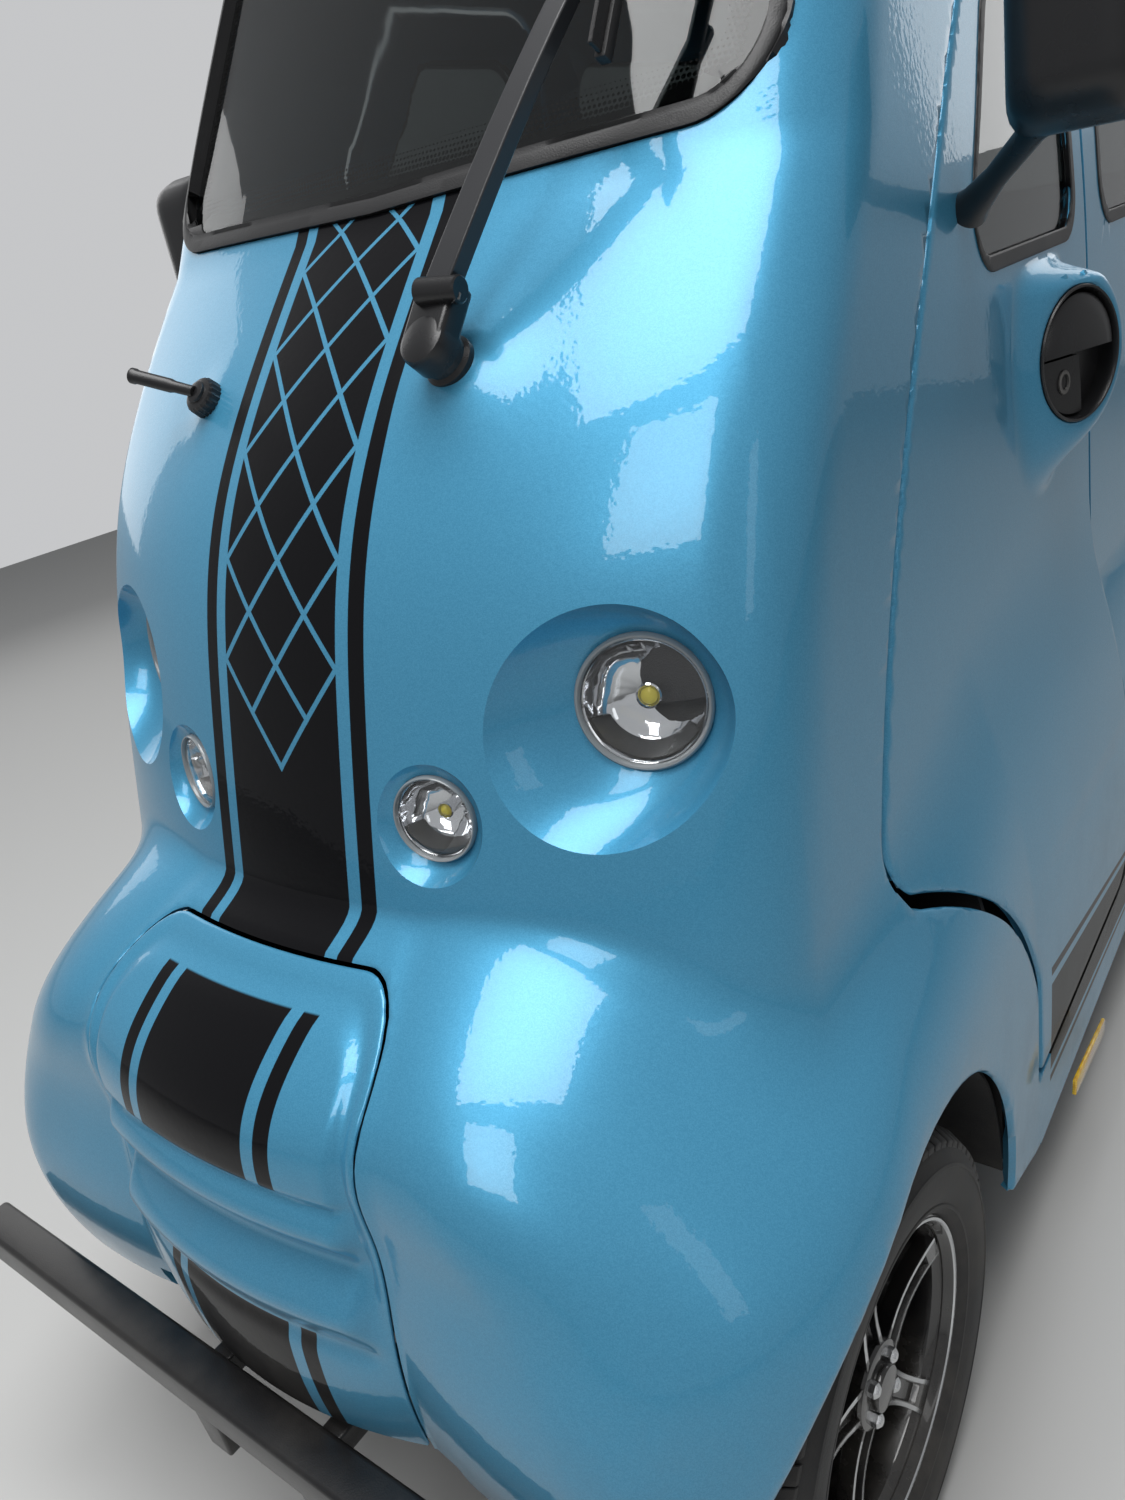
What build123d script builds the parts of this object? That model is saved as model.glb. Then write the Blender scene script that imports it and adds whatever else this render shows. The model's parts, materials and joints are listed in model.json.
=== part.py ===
from build123d import *
from collections import namedtuple
from math import sqrt
import os

os.makedirs("parts", exist_ok=True)

# A narrow three wheeled car with an enclosed cabin, two wheels in front and one behind.
# Millimetres, +Z up, front towards -Y, the car's left side towards +X.
# The origin lies on the ground under the middle of the car.

# Driving dimensions
nose_y = -1113.0          # foremost point of the body
wall = 16.0               # body panels
ground_to_hub = 228.5     # also the tyre's radius
front_axle_y = -795.0
rear_axle_y = 723.0
half_track = 380.0
arch_radius = 285.0
arch_inner_x = 192.0      # inner side of each front wheel's space
seam = 5.0                # gap round a door
wing_seam = 12.0          # the same over and behind the wing, where the door swings past it
fit = 0.3                 # clearance between curved pieces that meet
glass_thick = 5.0
glass_depth = 5.0         # how far the glass lies under the outer skin
roof_z = 1640.0
roof_edge = 85.0
roof_split_z = 1500.0     # lower edge of the roof panel
floor_z = 235.0
floor_thick = 8.0

# Cabin, as level sections: height, front on the centre line, radius of the front,
# half width at the front, corner radius, rearmost point, half width at the rear
CabRow = namedtuple("CabRow", "z front bow half corner rear rear_half")
cab_rows = [
    CabRow(560, 138, 800, 408, 90, 2226, 365),
    CabRow(732, 178, 800, 404, 90, 2240, 362),
    CabRow(880, 217, 820, 402, 92, 2232, 358),
    CabRow(1030, 278, 860, 400, 94, 2216, 352),
    CabRow(1130, 356, 1000, 396, 94, 2200, 346),
    CabRow(1222, 442, 1250, 388, 90, 2182, 338),
]
# Windscreen base to roof, straight between the two
screen_rows = [
    CabRow(1222, 442, 1250, 388, 90, 2182, 338),
    CabRow(roof_z, 713, 3000, 344, 80, 2052, 296),
]
rear_corner = 120.0

# Nose, wings, sills and tail, as level sections: height, front on the centre line,
# edge of the nose panel, foremost point of the wing, widest point, waist, tail
HullRow = namedtuple("HullRow", "z front nose_x nose_front wing_x wing_front side_x side waist tail")
hull_rows = [
    HullRow(150, 70, 170, 96, 320, 92, 470, 255, 444, 2222),
    HullRow(320, 4, 178, 36, 335, 26, 487, 225, 448, 2256),
    HullRow(450, 3, 178, 32, 330, 20, 487, 220, 446, 2262),
    HullRow(545, 17, 182, 43, 280, 39, 474, 290, 436, 2262),
    HullRow(650, 48, 178, 68, 200, 70, 395, 420, 409, 2246),
    HullRow(745, 225, 100, 231, 140, 238, 330, 430, 366, 2196),
]
waist_y = 720.0           # from the nose back to where the wings end
tail_narrower = 36.0      # the tail's half width against the waist's


def at(back):
    """Distance behind the nose to a place on Y."""
    return nose_y + back


def cab_section(row, inset):
    half = row.half - inset
    rear_half = row.rear_half - inset
    front = at(row.front) + inset
    rear = at(row.rear) - inset
    front_side = front + row.bow - sqrt(row.bow ** 2 - half ** 2)
    rear_side = rear - 40
    with BuildSketch(Plane.XY.offset(row.z)) as section:
        with BuildLine():
            ThreePointArc((-half, front_side), (0, front), (half, front_side))
            Line((half, front_side), (rear_half, rear_side))
            ThreePointArc((rear_half, rear_side), (0, rear), (-rear_half, rear_side))
            Line((-rear_half, rear_side), (-half, front_side))
        make_face()
        fillet(section.vertices().sort_by(Axis.Y)[:2], row.corner - inset)
        fillet(section.vertices().sort_by(Axis.Y)[-2:], rear_corner - inset)
    return section.sketch.face()


def hull_section(row, inset):
    side_x = row.side_x - inset
    waist = row.waist - inset
    tail = at(row.tail) - inset
    tail_x = waist - tail_narrower
    front = at(row.front) + inset
    nose = at(row.nose_front) + inset
    wing = at(row.wing_front) + inset
    side = at(row.side)
    with BuildSketch(Plane.XY.offset(row.z - inset)) as section:
        with BuildLine():
            TangentArc((0, front), (row.nose_x, nose), tangent=(1, 0))
            TangentArc((row.wing_x, wing), (row.nose_x, nose), tangent=(-1, 0))
            EllipticalCenterArc((row.wing_x, side), side_x - row.wing_x, side - wing, start_angle=270, arc_size=90)
            Line((side_x, side), (waist, at(waist_y)))
            Line((waist, at(waist_y)), (tail_x, tail - 60))
            TangentArc((0, tail), (tail_x, tail - 60), tangent=(1, 0))
            mirror(about=Plane.YZ)
        make_face()
    return section.sketch.face()


def screen_row(z):
    """The level section between the windscreen's base and the roof at a height."""
    base, top = screen_rows
    share = (z - base.z) / (top.z - base.z)
    return CabRow(*[low + share * (high - low) for low, high in zip(base, top)])


def cab_form(inset):
    with BuildPart() as upper:
        rows = [screen_rows[0], screen_row(roof_z - inset)]
        loft([cab_section(row, inset) for row in rows], ruled=True)
        top = upper.faces().sort_by(Axis.Z)[-1]
        fillet(top.edges(), roof_edge - inset)
    with BuildPart() as form:
        loft([cab_section(row, inset) for row in cab_rows])
        add(upper.part)
    return form.part


def hull_form(inset):
    with BuildPart() as form:
        loft([hull_section(row, inset) for row in hull_rows])
    return form.part


def side_outline(points):
    """A closed outline in the side view, from places behind the nose and heights."""
    with BuildSketch(Plane.YZ) as outline:
        with BuildLine():
            Polyline([(at(back), z) for back, z in points], close=True)
        make_face()
    return outline.sketch


def side_prism(outline, near, far):
    """The space over a side view outline, on the left, between two distances."""
    with BuildPart() as prism:
        extrude(outline.moved(Location((near, 0, 0))).face(), far - near, dir=(1, 0, 0))
    return prism.part


def on_right(piece):
    return mirror(piece, about=Plane.YZ)


# Door opening in the side view, as places behind the nose and heights
hub_back = front_axle_y - nose_y
wing_seam_radius = 427.0
door_bottom_z = 256.0
door_top_z = 1478.0
door_rear = 1180.0
door_lower_front = 721.0
door_front = [(459.0, 672.0), (462.0, 700.0), (552.0, 958.0), (782.0, 1299.0), (906.0, door_top_z)]
wing_arc = (21.0, 47.0)   # start and length in degrees of the seam's arc round the front hub
door_corner = 60.0
belt_z = 1100.0
window_border = 62.0
window_top_z = door_top_z - window_border
window_front = [(745.0, belt_z), (857.0, 1299.0), (940.0, window_top_z)]
window_corner = 40.0
quarter_front = 1255.0
quarter_rear = (1860.0, 1760.0)   # at the belt and at the top
quarter_corner = 50.0


def door_outline(inset, wing_inset):
    radius = wing_seam_radius + wing_inset
    hub = (at(hub_back), ground_to_hub)
    low_front = at(door_lower_front) + wing_inset
    above_wing, seam_low, seam_middle, pillar, top = [(at(back) + inset, z) for back, z in door_front]
    with BuildSketch(Plane.YZ) as outline:
        with BuildLine():
            arc = CenterArc(hub, radius, *wing_arc)
            Line((low_front, door_bottom_z + inset), arc @ 0)
            ThreePointArc(arc @ 1, above_wing, seam_low)
            ThreePointArc(seam_low, seam_middle, pillar)
            Polyline(
                pillar,
                (top[0], top[1] - inset),
                (at(door_rear) - inset, door_top_z - inset),
                (at(door_rear) - inset, door_bottom_z + inset),
                (low_front, door_bottom_z + inset),
            )
        make_face()
        fillet(outline.vertices().sort_by(Axis.X)[-2:], door_corner - inset)
    return outline.sketch


def window_outline(inset):
    low, pillar, top = [(at(back) + inset, z) for back, z in window_front]
    rear = at(door_rear) - window_border - inset
    with BuildSketch(Plane.YZ) as outline:
        with BuildLine():
            Polyline(
                (low[0], low[1] + inset), pillar, (top[0], top[1] - inset),
                (rear, top[1] - inset), (rear, low[1] + inset), close=True,
            )
        make_face()
        corners = outline.vertices().sort_by(Axis.Y)
        fillet(corners[:2] + corners[-2:], window_corner - inset)
    return outline.sketch


def quarter_outline(inset):
    with BuildSketch(Plane.YZ) as outline:
        with BuildLine():
            Polyline(
                (at(quarter_front) + inset, belt_z + inset),
                (at(quarter_front) + inset, window_top_z - inset),
                (at(quarter_rear[1]) - inset, window_top_z - inset),
                (at(quarter_rear[0]) - inset, belt_z + inset),
                close=True,
            )
        make_face()
        fillet(outline.vertices(), quarter_corner - inset)
    return outline.sketch


# Windscreen and rear window, as seen from in front
screen_bottom_z = 1229.0
screen_top_z = 1560.0
screen_half_bottom = 352.0
screen_half_top = 318.0
screen_corner = 62.0
rear_window_z = (1124.0, 1486.0)
rear_window_half = (285.0, 255.0)
rear_window_corner = 60.0
screen_dip = 10.0         # how much lower the windscreen's middle is than its corners
seal_width = 15.0
seal_proud = 2.5


def screen_outline(inset):
    with BuildSketch(Plane.XZ) as outline:
        with BuildLine():
            Polyline(
                (-screen_half_bottom + inset, screen_bottom_z + screen_dip + inset),
                (0, screen_bottom_z + inset),
                (screen_half_bottom - inset, screen_bottom_z + screen_dip + inset),
                (screen_half_top - inset, screen_top_z - inset),
                (-screen_half_top + inset, screen_top_z - inset),
                close=True,
            )
        make_face()
        corners = outline.vertices().sort_by(Axis.X)
        fillet(corners[:2] + corners[-2:], screen_corner - inset)
    return outline.sketch


def rear_window_outline(inset):
    low, high = rear_window_z
    wide, narrow = rear_window_half
    with BuildSketch(Plane.XZ) as outline:
        with BuildLine():
            Polyline(
                (-wide + inset, low + inset),
                (wide - inset, low + inset),
                (narrow - inset, high - inset),
                (-narrow + inset, high - inset),
                close=True,
            )
        make_face()
        fillet(outline.vertices(), rear_window_corner - inset)
    return outline.sketch


def front_prism(outline, front, rear):
    with BuildPart() as prism:
        extrude(outline.moved(Location((0, rear, 0))).face(), rear - front, dir=(0, -1, 0))
    return prism.part


# Body form, outside and inside, and the layers that the glass lies in
outer_cab = cab_form(0)
with BuildPart() as outer:
    add(outer_cab)
    add(hull_form(0))
with BuildPart() as inner:
    add(cab_form(wall))
    add(hull_form(wall))
with BuildPart() as glass_layer:
    add(cab_form(glass_depth))
    add(cab_form(glass_depth + glass_thick), mode=Mode.SUBTRACT)

with BuildPart() as lining:
    add(cab_form(wall + fit))
    add(hull_form(wall + fit))

# Lamps in the nose: across, height, place of the lamp's face, its radius, mouth radius
Lamp = namedtuple("Lamp", "name x z back radius mouth")
lamps = [
    Lamp("headlamps", 312, 886, 288, 51, 92),
    Lamp("fog_lamps", 149, 802, 222, 36, 47),
]
lamp_depth = 36.0
lens_proud = 5.0
lamp_wall = 12.0
bowl_angle = 34.0         # slope of the bowl round each lamp

far = 700.0               # beyond the body on any side
near = 250.0              # inside the body's side walls
door_space = side_prism(door_outline(0, 0), near, far)
door_form = side_prism(door_outline(seam, wing_seam), near, far)
window_space = side_prism(window_outline(0), near, far)
quarter_space = side_prism(quarter_outline(0), near, far)
screen_reach = (-2 * far, -near)
rear_reach = (near, 2 * far)
screen_space = front_prism(screen_outline(0), *screen_reach)
rear_window_space = front_prism(rear_window_outline(0), *rear_reach)

# Underside of the skirts
underside = side_outline([
    (-60, 0), (-60, 250), (600, 205), (720, 150), (1800, 150), (2300, 280), (2300, 0),
])
with BuildPart() as below:
    extrude(underside.face(), amount=far, dir=(1, 0, 0), both=True)
with BuildPart() as arches:
    for side in (-1, 1):
        with Locations(Location((side * (arch_inner_x + far) / 2, front_axle_y, ground_to_hub), (0, 90, 0))):
            Cylinder(arch_radius, far - arch_inner_x)

# Open space under the nose that the bumper's arms pass through
mouth_half = 205.0
mouth_top_z = 330.0
mouth_depth = 160.0

tail_lamp_x = 252.0
tail_lamp_z = 770.0
tail_lamp_radius = 46.0
tail_lamp_back = 2196.0
tail_lamp_long = 44.0
tail_lamp_edge = 8.0

# One shell, before it is cut into panels
panel_half = 175.0
panel_z = (330.0, 706.0)
panel_corner = 60.0
panel_gap = 3.0
panel_thick = 9.0


def panel_outline(inset):
    low, high = panel_z
    with BuildSketch(Plane.XZ) as outline:
        with Locations((0, (low + high) / 2)):
            Rectangle(2 * (panel_half - inset), high - low - 2 * inset)
        fillet(outline.vertices().group_by(Axis.Y)[-1], panel_corner - inset)
    return outline.sketch


with BuildPart() as shell:
    add(outer.part)
    add(inner.part, mode=Mode.SUBTRACT)
    for lamp in lamps:
        for side in (-1, 1):
            with BuildSketch(Plane.XZ.offset(-at(lamp.back) - lamp_wall)):
                with Locations((side * lamp.x, lamp.z)):
                    Circle(lamp.mouth + lamp_wall)
            extrude(amount=lamp_wall + 60)
    add(outer.part, mode=Mode.INTERSECT)
    for lamp in lamps:
        for side in (-1, 1):
            with BuildSketch(Plane.XZ.offset(-at(lamp.back))):
                with Locations((side * lamp.x, lamp.z)):
                    Circle(lamp.radius + 4)
            extrude(amount=140, taper=-bowl_angle, mode=Mode.SUBTRACT)
            with BuildSketch(Plane.XZ.offset(-at(lamp.back))):
                with Locations((side * lamp.x, lamp.z)):
                    Circle(lamp.radius)
            extrude(amount=-lamp_wall - 30, mode=Mode.SUBTRACT)
    add(below.part, mode=Mode.SUBTRACT)
    add(arches.part, mode=Mode.SUBTRACT)
    with Locations((0, at(mouth_depth / 2 - 60), mouth_top_z / 2)):
        Box(2 * mouth_half, mouth_depth + 60, mouth_top_z, mode=Mode.SUBTRACT)
    for side in (-1, 1):
        with BuildSketch(Plane.XZ.offset(-at(tail_lamp_back) - 200)):
            with Locations((side * tail_lamp_x, tail_lamp_z)):
                Circle(tail_lamp_radius)
        extrude(amount=400, mode=Mode.SUBTRACT)
    add(screen_space, mode=Mode.SUBTRACT)
    add(rear_window_space, mode=Mode.SUBTRACT)
    for space in (quarter_space, window_space):
        add(space, mode=Mode.SUBTRACT)
        add(on_right(space), mode=Mode.SUBTRACT)


# Panels of the body
front_region = side_outline([
    (-60, 100), (735, 100), (735, 1230), (980, roof_split_z), (980, 1700), (-60, 1700),
])
with BuildPart() as front_space:
    extrude(front_region.face(), amount=far, dir=(1, 0, 0), both=True)
with BuildPart() as roof_space:
    with Locations((0, 0, roof_split_z + 150)):
        Box(2 * far, 3000, 300)
panel_backing = hull_form(panel_thick + fit)
panel_reach = (at(-60), at(240))
panel_space = front_prism(panel_outline(0), *panel_reach)
panel_form = front_prism(panel_outline(panel_gap), *panel_reach)

with BuildPart() as roof_panel:
    add(shell.part)
    add(roof_space.part, mode=Mode.INTERSECT)

with BuildPart() as front_body:
    add(shell.part)
    add(roof_space.part, mode=Mode.SUBTRACT)
    add(front_space.part, mode=Mode.INTERSECT)
    add(door_space, mode=Mode.SUBTRACT)
    add(on_right(door_space), mode=Mode.SUBTRACT)
    add(panel_space - panel_backing, mode=Mode.SUBTRACT)

with BuildPart() as rear_body:
    add(shell.part)
    add(roof_space.part, mode=Mode.SUBTRACT)
    add(front_space.part, mode=Mode.SUBTRACT)
    add(door_space, mode=Mode.SUBTRACT)
    add(on_right(door_space), mode=Mode.SUBTRACT)

# Two rounded ribs across the nose panel: height, the panel's front there, its radius in plan
Rib = namedtuple("Rib", "z front bow")
ribs = [Rib(553, 20, 650), Rib(484, 7, 590)]
rib_radius = 26.0
rib_proud = 8.0
with BuildPart() as nose_panel:
    add(shell.part)
    for rib in ribs:
        with BuildSketch(Plane.YZ):
            with Locations((at(rib.front) + rib_radius - rib_proud, rib.z)):
                Circle(rib_radius)
        revolve(axis=Axis((0, at(rib.front) + rib.bow, 0), (0, 0, 1)))
    add(panel_form, mode=Mode.INTERSECT)
    add(hull_form(panel_thick), mode=Mode.SUBTRACT)

# Each door has a low round boss under its handle
handle_back = 985.0
handle_z = 1003.0
boss_radius = 60.0
boss_face_x = 391.0
boss_depth = 12.0
boss_slope = 45.0
with BuildPart() as door_left:
    add(shell.part)
    add(door_form, mode=Mode.INTERSECT)
    with BuildSketch(Plane.YZ.offset(boss_face_x - boss_depth)):
        with Locations((at(handle_back), handle_z)):
            Circle(boss_radius + boss_depth)
    extrude(amount=boss_depth, taper=boss_slope)
door_right = on_right(door_left.part)

# Glass
with BuildPart() as windscreen:
    add(glass_layer.part)
    add(front_prism(screen_outline(seal_width + fit), *screen_reach), mode=Mode.INTERSECT)
with BuildPart() as windscreen_seal:
    add(cab_form(-seal_proud))
    add(cab_form(wall), mode=Mode.SUBTRACT)
    add(screen_space, mode=Mode.INTERSECT)
    add(front_prism(screen_outline(seal_width), *screen_reach), mode=Mode.SUBTRACT)
with BuildPart() as rear_window:
    add(glass_layer.part)
    add(front_prism(rear_window_outline(fit), *rear_reach), mode=Mode.INTERSECT)
with BuildPart() as quarter_window:
    add(glass_layer.part)
    add(side_prism(quarter_outline(fit), near, far), mode=Mode.INTERSECT)
with BuildPart() as quarter_windows:
    add(quarter_window.part)
    mirror(about=Plane.YZ)
with BuildPart() as door_glass_left:
    add(glass_layer.part)
    add(side_prism(window_outline(fit), near, far), mode=Mode.INTERSECT)
door_glass_right = on_right(door_glass_left.part)

# Lamps
lamp_parts = []
for lamp in lamps:
    with BuildPart() as lamp_unit:
        for side in (-1, 1):
            face = Plane((side * lamp.x, at(lamp.back), lamp.z), x_dir=(1, 0, 0), z_dir=(0, -1, 0))
            with BuildSketch(face.offset(lens_proud)):
                Circle(lamp.radius - fit)
            extrude(amount=-lens_proud - lamp_depth)
        chamfer(lamp_unit.edges().filter_by(GeomType.CIRCLE).group_by(Axis.Y)[0], lens_proud)
    lamp_unit.part.label = lamp.name
    lamp_parts.append(lamp_unit.part)
with BuildPart() as tail_lamps:
    for side in (-1, 1):
        face = Plane((side * tail_lamp_x, at(tail_lamp_back), tail_lamp_z), x_dir=(-1, 0, 0), z_dir=(0, 1, 0))
        with BuildSketch(face):
            Circle(tail_lamp_radius - fit)
        extrude(amount=tail_lamp_long)
    chamfer(tail_lamps.edges().filter_by(GeomType.CIRCLE).group_by(Axis.Y)[-1], tail_lamp_edge)

# Wheels, knuckles and the arms that carry them
tyre_width = 145.0
tread_half = 58.0
shoulder_radius = 196.0   # where the sidewall is widest
bead_half = 49.0
rim_radius = 141.0
flange_radius = 152.0
flange_thick = 5.0
rim_half = 60.0
rim_thick = 8.0
hub_radius = 38.0
hub_out = 46.0            # outer face of the hub from the wheel's middle
drum_radius = 80.0
front_drum = (-44.0, -12.0)
rear_drum = (-44.0, 20.0)
axle_cover = 12.0         # metal over the end of a front axle
axle_radius = 12.0
axle_play = 0.1
axle_end = 30.0           # how far a front axle passes the wheel's middle
spoke_count = 5
spoke_back = 18.0         # the spokes' inner face from the hub's outer face
spoke_thick = 16.0
spoke_half = (24.0, 15.0)  # half width at the hub and at the rim


def make_tyre(plane):
    with BuildPart() as tyre:
        with BuildSketch(plane):
            with BuildLine():
                Polyline(
                    (-bead_half, rim_radius + fit), (bead_half, rim_radius + fit),
                    (tyre_width / 2, shoulder_radius), (tread_half, ground_to_hub),
                    (-tread_half, ground_to_hub), (-tyre_width / 2, shoulder_radius), close=True,
                )
            make_face()
        revolve(axis=Axis(plane.origin, plane.x_dir))
    return tyre.part


def make_rim(plane, drum, cover):
    inside = rim_radius - rim_thick
    flange = rim_half - flange_thick
    middle = Plane(plane.origin, x_dir=(0, 1, 0), z_dir=plane.x_dir)
    with BuildPart() as rim:
        with BuildSketch(plane):
            with BuildLine():
                Polyline(
                    (-rim_half, flange_radius), (-flange, flange_radius), (-flange, rim_radius),
                    (flange, rim_radius), (flange, flange_radius), (rim_half, flange_radius),
                    (rim_half, inside), (-rim_half, inside), close=True,
                )
            make_face()
            with Locations(((hub_out + drum[0]) / 2, hub_radius / 2)):
                Rectangle(hub_out - drum[0], hub_radius)
            with Locations(((drum[0] + drum[1]) / 2, drum_radius / 2)):
                Rectangle(drum[1] - drum[0], drum_radius)
        revolve(axis=Axis(plane.origin, plane.x_dir))
        with BuildSketch(middle.offset(hub_out - spoke_back)):
            with PolarLocations(0, spoke_count, start_angle=90):
                with BuildLine():
                    start = hub_radius / 2
                    end = inside + rim_thick / 2
                    Polyline(
                        (start, -spoke_half[0]), (end, -spoke_half[1]),
                        (end, spoke_half[1]), (start, spoke_half[0]), close=True,
                    )
                make_face()
        extrude(amount=spoke_thick)
        with BuildSketch(middle.offset(-rim_half)):
            Circle(axle_radius + axle_play)
        extrude(amount=rim_half + hub_out - cover, mode=Mode.SUBTRACT)
    return rim.part


sides = {"left": 1, "right": -1}
wheel_parts = []
for name, side in sides.items():
    plane = Plane((side * half_track, front_axle_y, ground_to_hub), x_dir=(side, 0, 0), z_dir=(0, 0, 1))
    wheel_parts.append(("tyre_front_" + name, make_tyre(plane)))
    wheel_parts.append(("rim_front_" + name, make_rim(plane, front_drum, axle_cover)))
rear_plane = Plane((0, rear_axle_y, ground_to_hub), x_dir=(1, 0, 0), z_dir=(0, 0, 1))
wheel_parts.append(("tyre_rear", make_tyre(rear_plane)))
wheel_parts.append(("rim_rear", make_rim(rear_plane, rear_drum, 0)))

# Knuckle: an upright on the kingpin's line, its axle, and the steering arm behind it
kingpin_x = 315.0
upright_half = (15.0, 28.0, 60.0)
steer_arm = (16.0, 100.0, 14.0)   # across, along, height
steer_arm_sunk = 10.0
steer_arm_z = 205.0
for name, side in sides.items():
    arm_x = kingpin_x - upright_half[0] + steer_arm[0] / 2
    arm_y = front_axle_y + upright_half[1] - steer_arm_sunk + steer_arm[1] / 2
    with BuildPart() as knuckle:
        with Locations((side * kingpin_x, front_axle_y, ground_to_hub)):
            Box(2 * upright_half[0], 2 * upright_half[1], 2 * upright_half[2])
        with BuildSketch(Plane((side * kingpin_x, front_axle_y, ground_to_hub), z_dir=(side, 0, 0))):
            Circle(axle_radius)
        extrude(amount=half_track + axle_end - kingpin_x)
        with Locations((side * arm_x, arm_y, steer_arm_z)):
            Box(*steer_arm)
    wheel_parts.append(("knuckle_" + name, knuckle.part))

# Front suspension: a wishbone under each upright and a strut over it, held by towers on the frame
arm_z = 160.0
arm_inner = (65.0, 95.0)  # the wishbone's inner ends, before and behind the axle
arm_fork_x = 285.0
arm_tip = (322.0, 18.0)
tower_x = (152.0, 182.0)
tower_half_y = 30.0
tower_top = 502.0
foot_plate = (44.0, 12.0)  # along and height of the strut's lower plate
foot_plate_x = (244.0, kingpin_x + 3.0)
head_plate = (70.0, 10.0)
head_plate_x = 275.0
strut_x = (270.0, 232.0)
strut_radius = 20.0
overlap = 2.0             # how far joined members run into each other
upright_top = ground_to_hub + upright_half[2] + fit
with BuildPart() as front_suspension:
    for side in (-1, 1):
        with BuildSketch(Plane.XY.offset(arm_z)):
            with BuildLine():
                Polyline(
                    (side * tower_x[0], front_axle_y - arm_inner[1]),
                    (side * tower_x[0], front_axle_y - arm_inner[0]),
                    (side * arm_fork_x, front_axle_y),
                    (side * tower_x[0], front_axle_y + arm_inner[0]),
                    (side * tower_x[0], front_axle_y + arm_inner[1]),
                    (side * arm_tip[0], front_axle_y + arm_tip[1]),
                    (side * arm_tip[0], front_axle_y - arm_tip[1]), close=True,
                )
            make_face()
        extrude(amount=ground_to_hub - upright_half[2] - fit - arm_z)
        foot_z = upright_top + foot_plate[1] / 2
        with Locations((side * sum(foot_plate_x) / 2, front_axle_y, foot_z)):
            Box(foot_plate_x[1] - foot_plate_x[0], *foot_plate)
        strut_top = (side * strut_x[1], front_axle_y, tower_top - head_plate[1])
        strut = Edge.make_line((side * strut_x[0], front_axle_y, foot_z), strut_top)
        with BuildSketch(Plane(strut @ 0, z_dir=strut % 0)):
            Circle(strut_radius)
        extrude(amount=strut.length - overlap)
        with Locations((side * (tower_x[1] + head_plate_x) / 2, front_axle_y, tower_top - head_plate[1] / 2)):
            Box(head_plate_x - tower_x[1], *head_plate)

# Frame: two rails, cross members, towers for the struts, horns for the bumper and posts at the rear
rail_x = (100.0, 140.0)
rail_y = (-1010.0, 440.0)
frame_z = (185.0, floor_z)
cross_places = (-1000.0, front_axle_y, -300.0, 60.0, 420.0)
cross_long = 30.0
bracket_back = 80.0
bracket_long = 40.0
post_size = 40.0
rear_rail_x = (110.0, 150.0)
rear_rail_y = (400.0, 1000.0)
rear_rail_z = (470.0, 510.0)
bar_size = 40.0
bar_half = 470.0
bar_back = -16.0
bar_z = 302.0
bar_edge = 5.0
bumper_arm_x = 76.0
bumper_arm_size = 24.0
bumper_leg = (40.0, 30.0, 60.0)
horn_size = (30.0, 20.0)
horn_top = bar_z + bumper_arm_size / 2 + overlap

frame_middle = sum(frame_z) / 2
frame_high = frame_z[1] - frame_z[0]
with BuildPart() as chassis_frame:
    for side in (-1, 1):
        with Locations((side * sum(rail_x) / 2, sum(rail_y) / 2, frame_middle)):
            Box(rail_x[1] - rail_x[0], rail_y[1] - rail_y[0], frame_high)
        with Locations((side * sum(tower_x) / 2, front_axle_y, (arm_z + tower_top) / 2)):
            Box(tower_x[1] - tower_x[0], 2 * tower_half_y, tower_top - arm_z)
        with Locations((side * (rail_x[1] + tower_x[0]) / 2, front_axle_y, frame_middle)):
            Box(tower_x[0] - rail_x[1] + 2 * overlap, 2 * tower_half_y, frame_high)
        bracket_x = (rail_x[1] - overlap, tower_x[0] - fit)
        for place in (-bracket_back, bracket_back):
            with Locations((side * sum(bracket_x) / 2, front_axle_y + place, (arm_z + frame_z[1]) / 2)):
                Box(bracket_x[1] - bracket_x[0], bracket_long, frame_z[1] - arm_z)
        with Locations((side * bumper_arm_x, cross_places[0], (frame_z[0] + horn_top) / 2)):
            Box(*horn_size, horn_top - frame_z[0])
        with Locations((side * sum(rear_rail_x) / 2, cross_places[-1], (frame_z[0] + rear_rail_z[1]) / 2)):
            Box(post_size, post_size, rear_rail_z[1] - frame_z[0])
        with Locations((side * sum(rear_rail_x) / 2, sum(rear_rail_y) / 2, sum(rear_rail_z) / 2)):
            Box(rear_rail_x[1] - rear_rail_x[0], rear_rail_y[1] - rear_rail_y[0], rear_rail_z[1] - rear_rail_z[0])
    for cross in cross_places:
        with Locations((0, cross, frame_middle)):
            Box(2 * (rail_x[0] + overlap), cross_long, frame_high)
    with Locations((0, rear_rail_y[1] - cross_long / 2, sum(rear_rail_z) / 2)):
        Box(2 * (rear_rail_x[0] + overlap), cross_long, rear_rail_z[1] - rear_rail_z[0])

# Bumper: a square bar on two arms from the frame's horns, with a short leg under each
with BuildPart() as bumper_bar:
    with Locations((0, at(bar_back), bar_z)):
        Box(2 * bar_half, bar_size, bar_size)
    fillet(bumper_bar.edges().filter_by(Axis.X), bar_edge)
    arm_start = at(bar_back) + bar_size / 2 - overlap
    arm_end = cross_places[0] - horn_size[1] / 2
    for side in (-1, 1):
        with Locations((side * bumper_arm_x, (arm_start + arm_end) / 2, bar_z)):
            Box(bumper_arm_size, arm_end - arm_start, bumper_arm_size)
        with Locations((side * bumper_arm_x, at(bar_back), bar_z - (bar_size + bumper_leg[2]) / 2 + overlap)):
            Box(*bumper_leg)

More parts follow.
